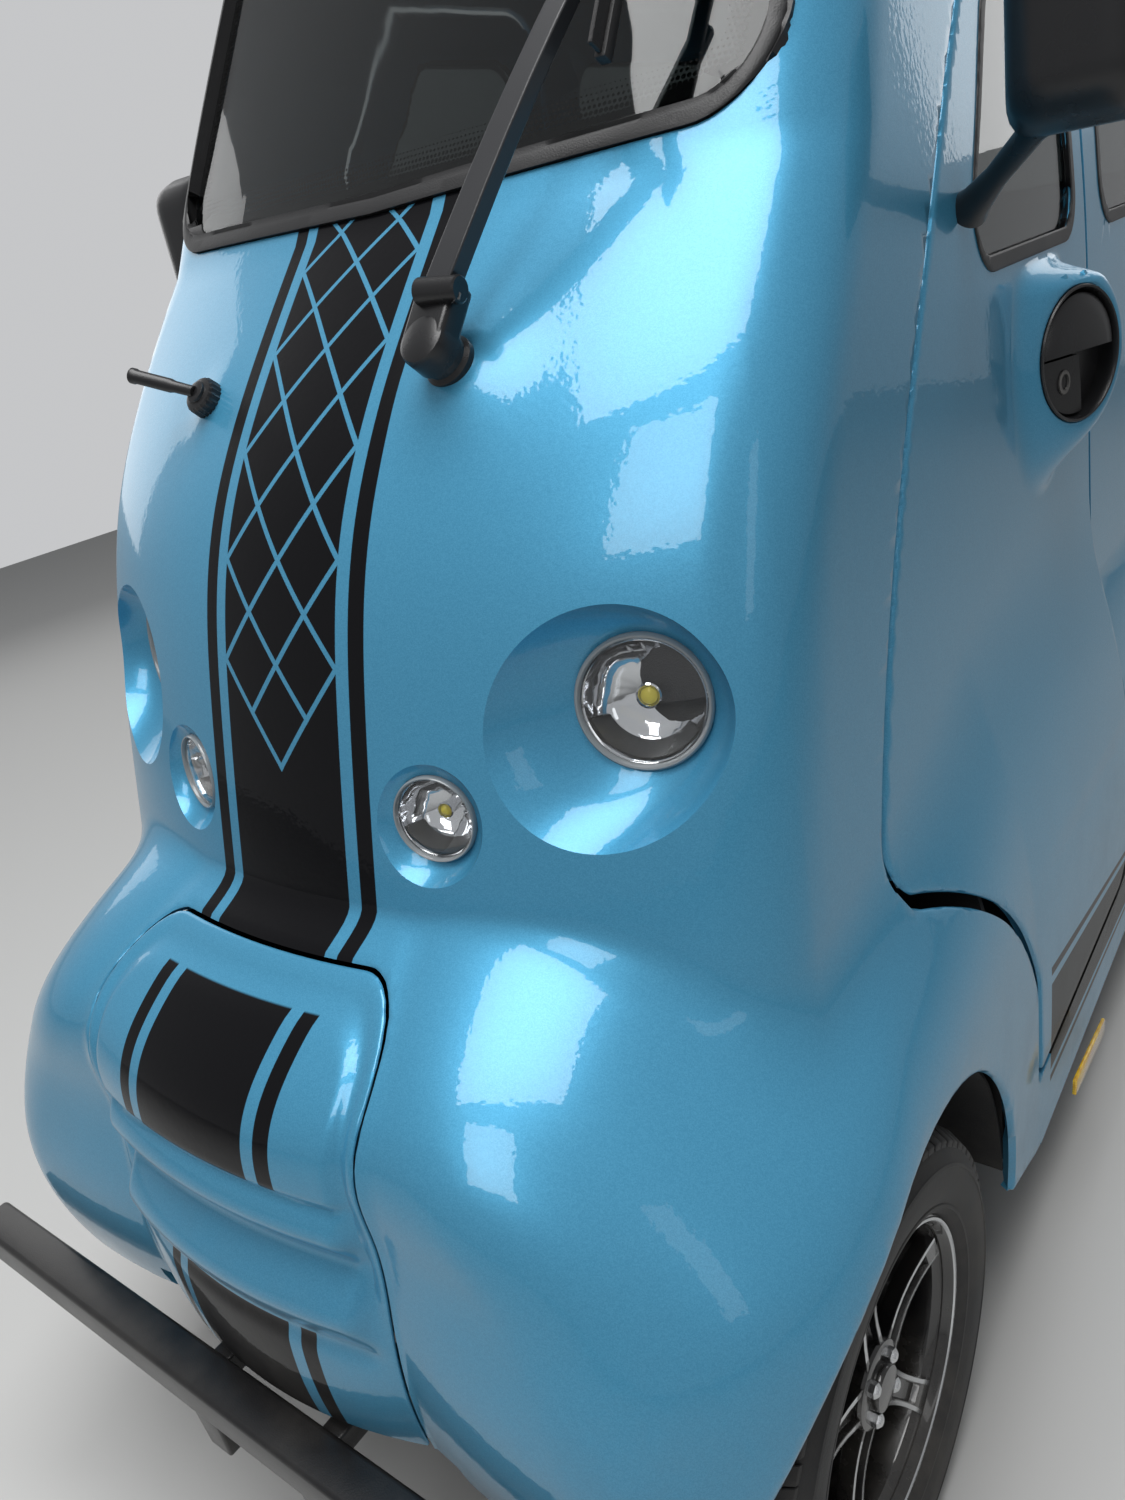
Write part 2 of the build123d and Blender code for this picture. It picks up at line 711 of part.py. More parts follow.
# Rear axle on its swinging arm, with a shock absorber over each side
swing_x = (96.0, 124.0)
swing_y = (448.0, 760.0)
swing_high = 46.0
rear_axle_end = 8.0
shock_back = 20.0
shock_radius = 20.0
with BuildPart() as swing_arm:
    shock_foot = ground_to_hub + swing_high / 2
    for side in (-1, 1):
        with Locations((side * sum(swing_x) / 2, sum(swing_y) / 2, ground_to_hub)):
            Box(swing_x[1] - swing_x[0], swing_y[1] - swing_y[0], swing_high)
        with Locations((side * sum(swing_x) / 2, swing_y[1] - shock_back, (shock_foot + rear_rail_z[0]) / 2)):
            Cylinder(shock_radius, rear_rail_z[0] - shock_foot)
    with Locations(Location((0, rear_axle_y, ground_to_hub), (0, 90, 0))):
        Cylinder(axle_radius, 2 * (swing_x[1] + rear_axle_end))
    with Locations((0, swing_y[0] + cross_long / 2, ground_to_hub)):
        Box(2 * (swing_x[0] + overlap), cross_long, swing_high)

# Floor, footwell between the wheels, and the deck behind the seat
foot_half = 150.0
foot_y = (-980.0, -492.0)
foot_top = 600.0
deck_back = 1508.0
deck_z = rear_rail_z[1]
with BuildPart() as floor_pan:
    floor_start = foot_y[1] - floor_thick
    foot_middle = (floor_z + foot_top) / 2
    foot_high = foot_top - floor_z
    with Locations((0, (floor_start + at(deck_back)) / 2, floor_z + floor_thick / 2)):
        Box(2 * far, at(deck_back) - floor_start, floor_thick)
    with Locations((0, sum(foot_y) / 2, floor_z + floor_thick / 2)):
        Box(2 * foot_half, foot_y[1] - foot_y[0], floor_thick)
    with Locations((0, foot_y[0] + floor_thick / 2, foot_middle)):
        Box(2 * foot_half, floor_thick, foot_high)
    for side in (-1, 1):
        with Locations((side * (foot_half - floor_thick / 2), sum(foot_y) / 2, foot_middle)):
            Box(floor_thick, foot_y[1] - foot_y[0], foot_high)
        with Locations((side * (foot_half - floor_thick + far / 2), floor_start + floor_thick / 2, foot_middle)):
            Box(far, floor_thick, foot_high)
    with Locations((0, at(deck_back), (floor_z + deck_z) / 2)):
        Box(2 * far, floor_thick, deck_z - floor_z)
    with Locations((0, at(deck_back) - floor_thick / 2 + far, deck_z + floor_thick / 2)):
        Box(2 * far, 2 * far, floor_thick)
    add(lining.part, mode=Mode.INTERSECT)

# Dashboard, open in front of the driver for the column
column_foot = (0, -640, 860)
wheel_centre = (0, -460, 960)
column_radius = 18.0
column = Edge.make_line(column_foot, wheel_centre)
dash_front = -775.0
dash_face = [(-700.0, foot_top + 1), (-640.0, 760.0), (-600.0, 900.0), (-640.0, 960.0)]
with BuildPart() as dashboard:
    with BuildSketch(Plane.YZ.offset(-far)):
        with BuildLine():
            Polyline((dash_front, dash_face[0][1]), *dash_face, (dash_front, dash_face[-1][1]), close=True)
        make_face()
    extrude(amount=2 * far)
    add(lining.part, mode=Mode.INTERSECT)
    add(door_space, mode=Mode.SUBTRACT)
    add(on_right(door_space), mode=Mode.SUBTRACT)
    with BuildSketch(Plane(column @ 0, z_dir=column % 0)):
        Circle(column_radius + fit)
    extrude(amount=column.length, mode=Mode.SUBTRACT)

# Battery under the seat, the seat base on it and the back on the base's rear
battery_size = (340.0, 380.0, 190.0)
battery_y = 70.0
base_size = (460.0, 500.0, 110.0)
base_y = 85.0
base_edge = 25.0
back_half = 220.0
back_foot_y = (218.0, 310.0)
back_top_y = (340.0, 420.0)
back_top_z = 1060.0
back_edge = 20.0
battery_foot = floor_z + floor_thick
base_foot = battery_foot + battery_size[2] + fit
back_foot = base_foot + base_size[2] + fit
with BuildPart() as battery_box:
    with Locations((0, battery_y, battery_foot + battery_size[2] / 2)):
        Box(*battery_size)
with BuildPart() as seat_base:
    with Locations((0, base_y, base_foot + base_size[2] / 2)):
        Box(*base_size)
    fillet(seat_base.edges(), base_edge)
with BuildPart() as seat_back:
    with BuildSketch(Plane.YZ.offset(-back_half)):
        with BuildLine():
            Polyline(
                (back_foot_y[0], back_foot), (back_foot_y[1], back_foot),
                (back_top_y[1], back_top_z), (back_top_y[0], back_top_z), close=True,
            )
        make_face()
    extrude(amount=2 * back_half)
    fillet(seat_back.edges(), back_edge)

# Steering
wheel_rim_radius = 165.0
wheel_rim_thick = 13.0
wheel_rim_sides = 8
wheel_hub_radius = 30.0
wheel_hub_depth = 25.0
wheel_hub_proud = 5.0
wheel_spokes = 3
wheel_spoke = (140.0, 26.0, 8.0)
with BuildPart() as steering_column:
    with BuildSketch(Plane(column @ 0, z_dir=column % 0)):
        Circle(column_radius)
    extrude(amount=column.length - wheel_hub_depth - fit)
with BuildPart() as steering_wheel:
    face = Plane(wheel_centre, x_dir=(1, 0, 0), z_dir=column % 0)
    with BuildSketch(face.offset(-wheel_hub_depth)):
        Circle(wheel_hub_radius)
    extrude(amount=wheel_hub_depth + wheel_hub_proud)
    with BuildSketch(Plane(wheel_centre, x_dir=(1, 0, 0), z_dir=face.y_dir)):
        with Locations((wheel_rim_radius, 0)):
            RegularPolygon(wheel_rim_thick, wheel_rim_sides)
    revolve(axis=Axis(wheel_centre, column % 0))
    with BuildSketch(face.offset(-wheel_spoke[2])):
        with PolarLocations(0, wheel_spokes, start_angle=90):
            with Locations((wheel_rim_radius - wheel_spoke[0] / 2, 0)):
                Rectangle(*wheel_spoke[:2])
    extrude(amount=wheel_spoke[2])

# Wheel space liners
liner_thick = 4.0
liner_x = (arch_inner_x, 480.0)
with BuildPart() as wheel_liners:
    for side in (-1, 1):
        with Locations(Location((side * sum(liner_x) / 2, front_axle_y, ground_to_hub), (0, 90, 0))):
            Cylinder(arch_radius + liner_thick, liner_x[1] - liner_x[0])
            Cylinder(arch_radius, liner_x[1] - liner_x[0], mode=Mode.SUBTRACT)
    add(lining.part, mode=Mode.INTERSECT)
    with Locations((0, 0, ground_to_hub / 2)):
        Box(4 * far, 4 * far, ground_to_hub, mode=Mode.SUBTRACT)

# Wiper: a pivot square to the skin, its arm and the blade; the washer's cap beside it.
# Places are across, behind the nose and height.
cowl_normal = (0, -0.76, 0.65)
pivot = (142.0, 375.0, 1105.0)
pivot_radius = 21.0
pivot_long = 62.0
arm_ends = [(150.0, 330.0, 1142.0), (262.0, 482.0, 1395.0)]
arm_section = (22.0, 14.0)
blade_ends = [(258.0, 425.0, 1290.0), (266.0, 552.0, 1500.0)]
blade_section = (10.0, 26.0)
cap_foot = (-150.0, 372.0, 1098.0)
cap_radius = 17.0
cap_long = 50.0
cap_bar_ends = [(-150.0, 336.0, 1126.0), (-215.0, 318.0, 1144.0)]
cap_bar_radius = 7.0


def placed(place):
    return (place[0], at(place[1]), place[2])


with BuildPart() as wiper:
    with BuildSketch(Plane(placed(pivot), z_dir=cowl_normal)):
        Circle(pivot_radius)
    extrude(amount=pivot_long)
    for ends, section in ((arm_ends, arm_section), (blade_ends, blade_section)):
        line = Edge.make_line(placed(ends[0]), placed(ends[1]))
        with BuildSketch(Plane(line @ 0, x_dir=(1, 0, 0), z_dir=line % 0)):
            Rectangle(*section)
        extrude(amount=line.length)
    add(outer_cab, mode=Mode.SUBTRACT)
with BuildPart() as washer_cap:
    with BuildSketch(Plane(placed(cap_foot), z_dir=cowl_normal)):
        Circle(cap_radius)
    extrude(amount=cap_long)
    bar = Edge.make_line(placed(cap_bar_ends[0]), placed(cap_bar_ends[1]))
    with BuildSketch(Plane(bar @ 0, z_dir=bar % 0)):
        Circle(cap_bar_radius)
    extrude(amount=bar.length)
    add(outer_cab, mode=Mode.SUBTRACT)

# Door handle on its boss, and mirror
handle_half = (46.0, 50.0)
handle_long = 37.0
mirror_back = 683.0
mirror_x = 500.0
mirror_z = 1262.0
mirror_size = (120.0, 160.0)
mirror_corner = 38.0
mirror_depth = 56.0
mirror_taper = 14.0
stay_ends = [(470.0, 672.0, 1200.0), (382.0, 745.0, 1140.0)]
stay_radius = 11.0
with BuildPart() as door_handle_left:
    with BuildSketch(Plane.YZ.offset(boss_face_x)):
        with Locations((at(handle_back), handle_z)):
            Ellipse(*handle_half)
    extrude(amount=handle_long)
door_handle_right = on_right(door_handle_left.part)
with BuildPart() as mirror_left:
    with BuildSketch(Plane.XZ.offset(-at(mirror_back))):
        with Locations((mirror_x, mirror_z)):
            RectangleRounded(*mirror_size, mirror_corner)
    extrude(amount=mirror_depth, taper=mirror_taper)
    stay = Edge.make_line(placed(stay_ends[0]), placed(stay_ends[1]))
    with BuildSketch(Plane(stay @ 0, z_dir=stay % 0)):
        Circle(stay_radius)
    extrude(amount=stay.length)
    add(outer_cab, mode=Mode.SUBTRACT)
mirror_right = on_right(mirror_left.part)

pieces = {
    "front_body": front_body.part,
    "rear_body": rear_body.part,
    "roof_panel": roof_panel.part,
    "nose_panel": nose_panel.part,
    "windscreen": windscreen.part,
    "windscreen_seal": windscreen_seal.part,
    "rear_window": rear_window.part,
    "quarter_windows": quarter_windows.part,
    "headlamps": lamp_parts[0],
    "fog_lamps": lamp_parts[1],
    "tail_lamps": tail_lamps.part,
    "floor_pan": floor_pan.part,
    "dashboard": dashboard.part,
    "chassis_frame": chassis_frame.part,
    "bumper_bar": bumper_bar.part,
    "battery_box": battery_box.part,
    "seat_base": seat_base.part,
    "seat_back": seat_back.part,
    "steering_column": steering_column.part,
    "steering_wheel": steering_wheel.part,
    "wheel_liners": wheel_liners.part,
    "front_suspension": front_suspension.part,
    "swing_arm": swing_arm.part,
    "wiper": wiper.part,
    "washer_cap": washer_cap.part,
    "door_left": door_left.part,
    "door_right": door_right,
    "door_glass_left": door_glass_left.part,
    "door_glass_right": door_glass_right,
    "door_handle_left": door_handle_left.part,
    "door_handle_right": door_handle_right,
    "mirror_left": mirror_left.part,
    "mirror_right": mirror_right,
}
pieces.update(wheel_parts)
for name, piece in pieces.items():
    print(name, round(piece.volume / 1e6, 2), len(piece.solids()), piece.is_valid)
    piece.label = name
    export_step(piece, "parts/" + name + ".step")
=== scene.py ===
import json
import math

import bmesh
import bpy
import numpy as np
from mathutils import Matrix, Vector


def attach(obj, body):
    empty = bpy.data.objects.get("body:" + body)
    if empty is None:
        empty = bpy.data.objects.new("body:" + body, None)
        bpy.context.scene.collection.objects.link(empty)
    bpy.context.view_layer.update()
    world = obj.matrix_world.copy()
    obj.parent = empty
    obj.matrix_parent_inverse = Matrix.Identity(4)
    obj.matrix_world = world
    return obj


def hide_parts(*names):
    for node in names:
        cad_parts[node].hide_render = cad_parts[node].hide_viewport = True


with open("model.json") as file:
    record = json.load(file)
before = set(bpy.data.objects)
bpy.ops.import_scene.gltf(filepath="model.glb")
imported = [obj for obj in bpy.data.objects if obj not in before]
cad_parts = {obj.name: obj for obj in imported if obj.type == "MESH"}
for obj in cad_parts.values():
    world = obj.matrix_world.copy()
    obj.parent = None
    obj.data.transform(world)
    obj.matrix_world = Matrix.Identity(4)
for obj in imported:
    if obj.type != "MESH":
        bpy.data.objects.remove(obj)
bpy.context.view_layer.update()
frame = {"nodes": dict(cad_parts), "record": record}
nodes = frame["nodes"]
print("frame loaded:", len(nodes), "nodes")

# distances run back from the nose along Y
noseY = -1.113


def backOf(y):
    return y - noseY


def atNose(x, back, z):
    return Vector((x, noseY + back, z))


view = {"place": (0.736, -1.407, 1.174), "yaw": 40.96, "pitch": 23.49, "roll": 11.12, "lens": 26.97}


def placeCamera():
    yaw, pitch, roll = (math.radians(view[key]) for key in ("yaw", "pitch", "roll"))
    level = Vector((-math.sin(yaw), math.cos(yaw), 0))
    across = Vector((math.cos(yaw), math.sin(yaw), 0))
    ahead = level * math.cos(pitch) - Vector((0, 0, math.sin(pitch)))
    drop = -level * math.sin(pitch) - Vector((0, 0, math.cos(pitch)))
    right = across * math.cos(roll) + drop * math.sin(roll)
    down = drop * math.cos(roll) - across * math.sin(roll)
    data = bpy.data.cameras.new("camera")
    data.lens, data.sensor_width = view["lens"], 36
    data.clip_start, data.clip_end = 0.05, 100
    camera = bpy.data.objects.new("camera", data)
    bpy.context.scene.collection.objects.link(camera)
    turn = Matrix((right, -down, -ahead)).transposed()
    camera.matrix_world = Matrix.Translation(view["place"]) @ turn.to_4x4()
    bpy.context.scene.camera = camera


placeCamera()

studio = [
    # name, place, aim, width, height, power
    ("overhead", (0.2, -1.1, 4.2), (0, -0.6, 0.6), 2.4, 2.8, 138),
    ("keyFront", (0.9, -3.9, 3.8), (0.1, -0.9, 0.8), 1.4, 2.0, 46),
    ("stripLeft", (4.4, -2.6, 2.6), (0.3, -0.6, 0.8), 0.6, 2.4, 5),
    ("fillRight", (-4.0, 0.4, 2.2), (0, 0, 0.8), 2.2, 2.2, 18),
    ("fillBack", (0.5, 4.6, 2.4), (0, 0.6, 0.8), 2.6, 2.0, 22),
]


def placeLamps():
    for name, place, aim, width, height, power in studio:
        data = bpy.data.lights.new(name, "AREA")
        data.shape = "RECTANGLE"
        data.size, data.size_y, data.energy = width, height, power
        lamp = bpy.data.objects.new(name, data)
        bpy.context.scene.collection.objects.link(lamp)
        lamp.location = place
        lamp.rotation_euler = (Vector(aim) - Vector(place)).to_track_quat("-Z", "Y").to_euler()


placeLamps()


# node helpers
class Field:
    # a socket of a shader tree that takes + - * / as a number does
    def __init__(self, tree, socket):
        self.tree, self.socket = tree, socket

    def calc(self, operation, *others):
        inputs = dict(enumerate((self, *others)))
        return fieldOf(self.tree, "ShaderNodeMath", inputs, operation=operation)

    def __add__(self, other):
        return self.calc("ADD", other)

    def __sub__(self, other):
        return self.calc("SUBTRACT", other)

    def __rsub__(self, other):
        return fieldOf(self.tree, "ShaderNodeMath", {0: other, 1: self}, operation="SUBTRACT")

    def __mul__(self, other):
        return self.calc("MULTIPLY", other)

    def __truediv__(self, other):
        return self.calc("DIVIDE", other)

    def most(self, other):
        return self.calc("MAXIMUM", other)

    def least(self, other):
        return self.calc("MINIMUM", other)

    def absolute(self):
        return self.calc("ABSOLUTE")

    def clamped(self):
        self.socket.node.use_clamp = True
        return self


def plug(socket, value):
    if isinstance(value, Field):
        value.tree.links.new(value.socket, socket)
    else:
        socket.default_value = value


def feed(node, **values):
    for key, value in values.items():
        plug(node.inputs[key.replace("_", " ")], value)


def addNode(tree, kind, inputs=None, **settings):
    made = tree.nodes.new(kind)
    for key, value in settings.items():
        setattr(made, key, value)
    for key, value in (inputs or {}).items():
        plug(made.inputs[key], value)
    return made


def fieldOf(tree, kind, inputs=None, output=0, **settings):
    return Field(tree, addNode(tree, kind, inputs, **settings).outputs[output])


def soft(value, low, high):
    # 0 below low, 1 above high
    inputs = {"Value": value, "From Min": low, "From Max": high}
    return fieldOf(value.tree, "ShaderNodeMapRange", inputs, interpolation_type="SMOOTHSTEP")


def over(value, limit, edge):
    return soft(value, limit - edge, limit + edge)


def within(value, low, high, edge):
    return over(value, low, edge) * (1 - over(value, high, edge))


def blendColor(factor, first, second):
    made = addNode(factor.tree, "ShaderNodeMix", {0: factor}, data_type="RGBA")
    for index, value in ((6, first), (7, second)):
        plug(made.inputs[index], value if isinstance(value, Field) else (*value, 1))
    return Field(factor.tree, made.outputs[2])


def objectPlace(tree):
    return fieldOf(tree, "ShaderNodeTexCoord", output="Object")


def parted(where):
    split = addNode(where.tree, "ShaderNodeSeparateXYZ", {0: where})
    return [Field(where.tree, output) for output in split.outputs]


def noise(where, scale, detail, roughness=0.5):
    inputs = {"Vector": where, "Scale": scale, "Detail": detail, "Roughness": roughness}
    return fieldOf(where.tree, "ShaderNodeTexNoise", inputs, "Fac")


def cells(where, scale, output="Distance", randomness=1.0):
    inputs = {"Vector": where, "Scale": scale, "Randomness": randomness}
    return fieldOf(where.tree, "ShaderNodeTexVoronoi", inputs, output)


def bumped(height, strength, distance, normal=None):
    inputs = {"Strength": strength, "Distance": distance, "Height": height}
    if normal:
        inputs["Normal"] = normal
    return fieldOf(height.tree, "ShaderNodeBump", inputs)


def newGroup(name, inputs, outputs):
    # a node group of numbers: its tree, the fields that come in and the node that takes the results
    group = bpy.data.node_groups.new(name, "ShaderNodeTree")
    for socket, value in inputs.items():
        made = group.interface.new_socket(name=socket, in_out="INPUT", socket_type="NodeSocketFloat")
        made.default_value = value
    for socket in outputs:
        group.interface.new_socket(name=socket, in_out="OUTPUT", socket_type="NodeSocketFloat")
    start = group.nodes.new("NodeGroupInput")
    given = {socket: Field(group, start.outputs[socket]) for socket in inputs}
    return group, given, group.nodes.new("NodeGroupOutput")


def useGroup(tree, group, **values):
    made = tree.nodes.new("ShaderNodeGroup")
    made.node_tree = group
    feed(made, **values)
    return {output.name: Field(tree, output) for output in made.outputs}


def makeGrain():
    # fine mould grain: height for a bump, and a little change of roughness
    group, given, end = newGroup("mouldGrain", {"Scale": 900.0, "Spread": 0.1}, ["Height", "Rough"])
    where = objectPlace(group)
    clouds = noise(where, 14.0, 4.0)
    feed(end, Height=cells(where, given["Scale"]), Rough=(clouds - 0.5) * given["Spread"])
    return group


def makeDust():
    # road dust, thicker near the ground and in soft patches
    group, given, end = newGroup("roadDust", {"Top": 0.4, "Amount": 0.3}, ["Mask"])
    where = objectPlace(group)
    low = (1 - parted(where)[2] / given["Top"]).clamped()
    patches = soft(noise(where, 9.0, 6.0, 0.65), 0.35, 0.75)
    feed(end, Mask=low * patches * given["Amount"])
    return group


grainGroup = makeGrain()
dustGroup = makeDust()


# materials
def newMaterial(name, color, **values):
    # with its shader node and its Object coordinates
    material = bpy.data.materials.new(name)
    material.use_nodes = True
    shader = material.node_tree.nodes["Principled BSDF"]
    feed(shader, Base_Color=(*color, 1), **values)
    return material, shader, objectPlace(material.node_tree)


paint = {
    "blue": (0.088, 0.355, 0.560), "deep": (0.045, 0.245, 0.420), "black": (0.003, 0.003, 0.004),
    "metal": 0.32, "coat": 0.7, "dust": (0.20, 0.19, 0.17), "blur": 0.0004,
    "bandHalf": 0.069, "lineFrom": 0.082, "lineTo": 0.098, "latticeHalf": 0.069, "latticeLine": 0.042,
    # heights of the lattice's crossings on the centre line, and of the curve's ends
    "latticeAt": (0.748, 0.834, 0.915, 0.993, 1.069, 1.138, 1.197, 1.245), "latticeSpan": (0.70, 1.25),
    "panelLow": 0.439, "panelField": (0.580, 0.684),
    "decalFrom": 0.770, "decalTo": 1.700, "decalLong": 0.41, "decalFoot": (0.215, 0.020),
    "decalHigh": (0.160, 0.055), "decalBands": ((0.0, 0.06), (0.11, 0.86), (0.93, 1.0)),
}


def stripeMask(x, y, z):
    # black where the band and its two thin lines lie, and the blue lattice cut out of the band
    away = x.absolute()
    band = 1 - over(away, paint["bandHalf"], paint["blur"])
    line = within(away, paint["lineFrom"], paint["lineTo"], paint["blur"])
    lowest, highest = paint["latticeSpan"]
    lift = addNode(z.tree, "ShaderNodeFloatCurve", {"Value": (z - lowest) / (highest - lowest)})
    curve = lift.mapping.curves[0]
    for index, at in enumerate(paint["latticeAt"]):
        place = ((at - lowest) / (highest - lowest), (index + 1) / 10)
        if index < 2:
            curve.points[index].location = place
        else:
            curve.points.new(*place)
    lift.mapping.update()
    phase = Field(z.tree, lift.outputs[0]) * 10.0 - 2.0
    lean = x / paint["latticeHalf"]
    near = []
    for cross in (phase + lean, phase - lean):
        gap = (cross - cross.calc("ROUND")).absolute()
        near.append(1 - over(gap, paint["latticeLine"], 0.006))
    lattice = near[0].most(near[1]) * soft(phase - lean.absolute(), -0.05, -0.035)
    # only the car's front carries them, below the windscreen
    return (band * (1 - lattice)).most(line) * (1 - over(y, -0.61, 0.01))


def decalMask(x, y, z):
    # plain black band low on either side, between two thin lines, tapering to the rear
    back = backOf(y)
    run = (back - paint["decalFrom"]) / paint["decalLong"]
    foot, high = (start - run * fall for start, fall in (paint["decalFoot"], paint["decalHigh"]))
    share = (z - foot) / high
    low, middle, top = (within(share, start, stop, 0.004) for start, stop in paint["decalBands"])
    ends = over(back, paint["decalFrom"], 0.0005)
    ends = ends * (1 - soft(back + z * 0.6, paint["decalTo"], paint["decalTo"] + 0.001))
    return low.most(middle).most(top) * ends * soft(x.absolute(), 0.33, 0.335)


def makePaint(name, striped, panel=False):
    material, shader, where = newMaterial(name, paint["blue"], IOR=1.5, Specular_IOR_Level=0.05, Coat_Roughness=0.025)
    x, y, z = parted(where)
    flakes = addNode(where.tree, "ShaderNodeSeparateColor", {0: cells(where, 1400.0, "Color")})
    sparkle = Field(where.tree, flakes.outputs[0])
    clouds = noise(where, 2.2, 2.0)
    color = blendColor((sparkle * 0.5 + clouds * 0.35).clamped(), paint["blue"], paint["deep"])
    dust = useGroup(where.tree, dustGroup, Top=0.62, Amount=0.35)["Mask"]
    mask = decalMask(x, y, z)
    if striped:
        mask = mask.most(stripeMask(x, y, z))
    if panel:
        low = 1 - over(z, paint["panelLow"], 0.0005)
        mask = mask * low.most(within(z, *paint["panelField"], 0.0005))
    bare = 1 - mask
    color = blendColor(dust, blendColor(mask, color, paint["black"]), paint["dust"])
    peel = bumped(noise(where, 170.0, 1.0), 0.04, 0.002)
    feed(shader, Base_Color=color, Metallic=bare * paint["metal"], Coat_Weight=(bare * 0.55 + 0.45) * paint["coat"],
         Roughness=dust * 0.5 + (clouds * 0.06 + 0.30), Normal=bumped(sparkle, 0.10, 0.0004, peel), Coat_Normal=peel)
    return material


bodyPaint = makePaint("bodyPaint", True)
plainPaint = makePaint("plainPaint", False)
panelPaint = makePaint("panelPaint", True, panel=True)


def makeGlass(name, tint, rough=0.02):
    # clear glass with a faint film of dust and wiping marks
    material, shader, where = newMaterial(name, tint, IOR=1.45, Transmission_Weight=1.0)
    feed(shader, Roughness=soft(noise(where, 6.0, 5.0, 0.6), 0.5, 0.8) * 0.05 + rough)
    return material


darkGlass = makeGlass("darkGlass", (0.16, 0.18, 0.18))
clearGlass = makeGlass("clearGlass", (0.97, 0.98, 0.98), 0.0)


def makePlastic(name, color, rough, grain, bump, dustTop=0.0, **values):
    material, shader, where = newMaterial(name, color, **values)
    grown = useGroup(where.tree, grainGroup, Scale=grain, Spread=0.12)
    roughness = grown["Rough"] + rough
    if dustTop:
        dust = useGroup(where.tree, dustGroup, Top=dustTop, Amount=0.5)["Mask"]
        feed(shader, Base_Color=blendColor(dust, color, (0.16, 0.145, 0.125)))
        roughness = roughness + dust * 0.4
    feed(shader, Roughness=roughness, Normal=bumped(grown["Height"], bump, 0.0006))
    return material


sealRubber = makePlastic("sealRubber", (0.012, 0.012, 0.013), 0.48, 700.0, 0.2)
floorBlack = makePlastic("floorBlack", (0.018, 0.018, 0.019), 0.75, 500.0, 0.4, dustTop=0.5)
dashPlastic = makePlastic("dashPlastic", (0.022, 0.022, 0.024), 0.5, 800.0, 0.35)
frameBlack = makePlastic("frameBlack", (0.010, 0.010, 0.011), 0.3, 650.0, 0.12, dustTop=0.45)
trimBlack = makePlastic("trimBlack", (0.012, 0.012, 0.013), 0.28, 1400.0, 0.1)
leather = makePlastic("leather", (0.022, 0.022, 0.024), 0.45, 320.0, 0.45)
tyreRubber = makePlastic("tyreRubber", (0.017, 0.017, 0.018), 0.62, 600.0, 0.3, dustTop=0.7)
rimBlack = makePlastic("rimBlack", (0.008, 0.008, 0.009), 0.18, 1500.0, 0.03, dustTop=0.5, Coat_Weight=0.8)
castSteel = makePlastic("castSteel", (0.16, 0.155, 0.15), 0.55, 500.0, 0.5, dustTop=0.5, Metallic=0.8)
tailLens = makePlastic("tailLens", (0.42, 0.006, 0.008), 0.08, 60.0, 0.1, Coat_Weight=1.0)
chrome = makePlastic("chrome", (0.86, 0.87, 0.88), 0.08, 60.0, 0.02, Metallic=1.0)

bySlot = {
    "body_paint": bodyPaint, "glass": darkGlass, "seal_rubber": sealRubber, "lamp_chrome": chrome,
    "tail_lens": tailLens, "floor_black": floorBlack, "dash_plastic": dashPlastic, "frame_black": frameBlack,
    "seat_leather": leather, "trim_black": trimBlack, "tyre": tyreRubber, "rim_black": rimBlack,
    "cast_steel": castSteel,
}
for part in frame["record"]["subparts"]:
    mesh = nodes[part["node"]].data
    mesh.materials.clear()
    mesh.materials.append(bySlot[part["material_slot"]])
print("materials made")

# body skin: the same sections as the solids, finer, with the folds and bowls softened
skin = {
    "centre": 1.0, "cabFrom": 0.5, "hullTo": 0.80,
    # height: front, bow of the front, half width, corner, rear, rear half width
    "cabRows": [
        (0.560, 0.138, 0.800, 0.408, 0.090, 2.226, 0.365),
        (0.732, 0.178, 0.800, 0.404, 0.090, 2.240, 0.362),
        (0.880, 0.217, 0.820, 0.402, 0.092, 2.232, 0.358),
        (1.030, 0.278, 0.860, 0.400, 0.094, 2.216, 0.352),
        (1.130, 0.356, 1.000, 0.396, 0.094, 2.200, 0.346),
        (1.222, 0.442, 1.250, 0.388, 0.090, 2.182, 0.338),
    ],
    "roofRow": (1.640, 0.713, 3.000, 0.344, 0.080, 2.052, 0.296),
    # height: front, panel edge x and front, wing x and front, widest x and place, waist, tail
    "hullRows": [
        (0.150, 0.070, 0.170, 0.096, 0.320, 0.092, 0.470, 0.255, 0.444, 2.222),
        (0.320, 0.004, 0.178, 0.036, 0.335, 0.026, 0.487, 0.225, 0.448, 2.256),
        (0.450, 0.003, 0.178, 0.032, 0.330, 0.020, 0.487, 0.220, 0.446, 2.262),
        (0.545, 0.017, 0.182, 0.043, 0.280, 0.039, 0.474, 0.290, 0.436, 2.262),
        (0.650, 0.048, 0.178, 0.068, 0.200, 0.070, 0.395, 0.420, 0.409, 2.246),
        (0.745, 0.225, 0.100, 0.231, 0.140, 0.238, 0.330, 0.430, 0.366, 2.196),
    ],
    "waistBack": 0.720, "foldMiddle": 0.016, "foldSide": 0.062,
}
lampBowls = [
    # x, height, lens place, flat radius, mouth radius, mouth's place from the lamp, lean of the floor out and up
    (0.2945, 0.874, 0.312, 0.0520, 0.085, (-0.0085, -0.005), (0.366, 0.129)),
    (0.149, 0.802, 0.222, 0.0360, 0.047, (0.002, -0.001), (0.263, 0.105)),
]
hub = {"back": 0.318, "height": 0.2285, "arch": 0.285, "archInner": 0.192, "wingSeam": 0.427}


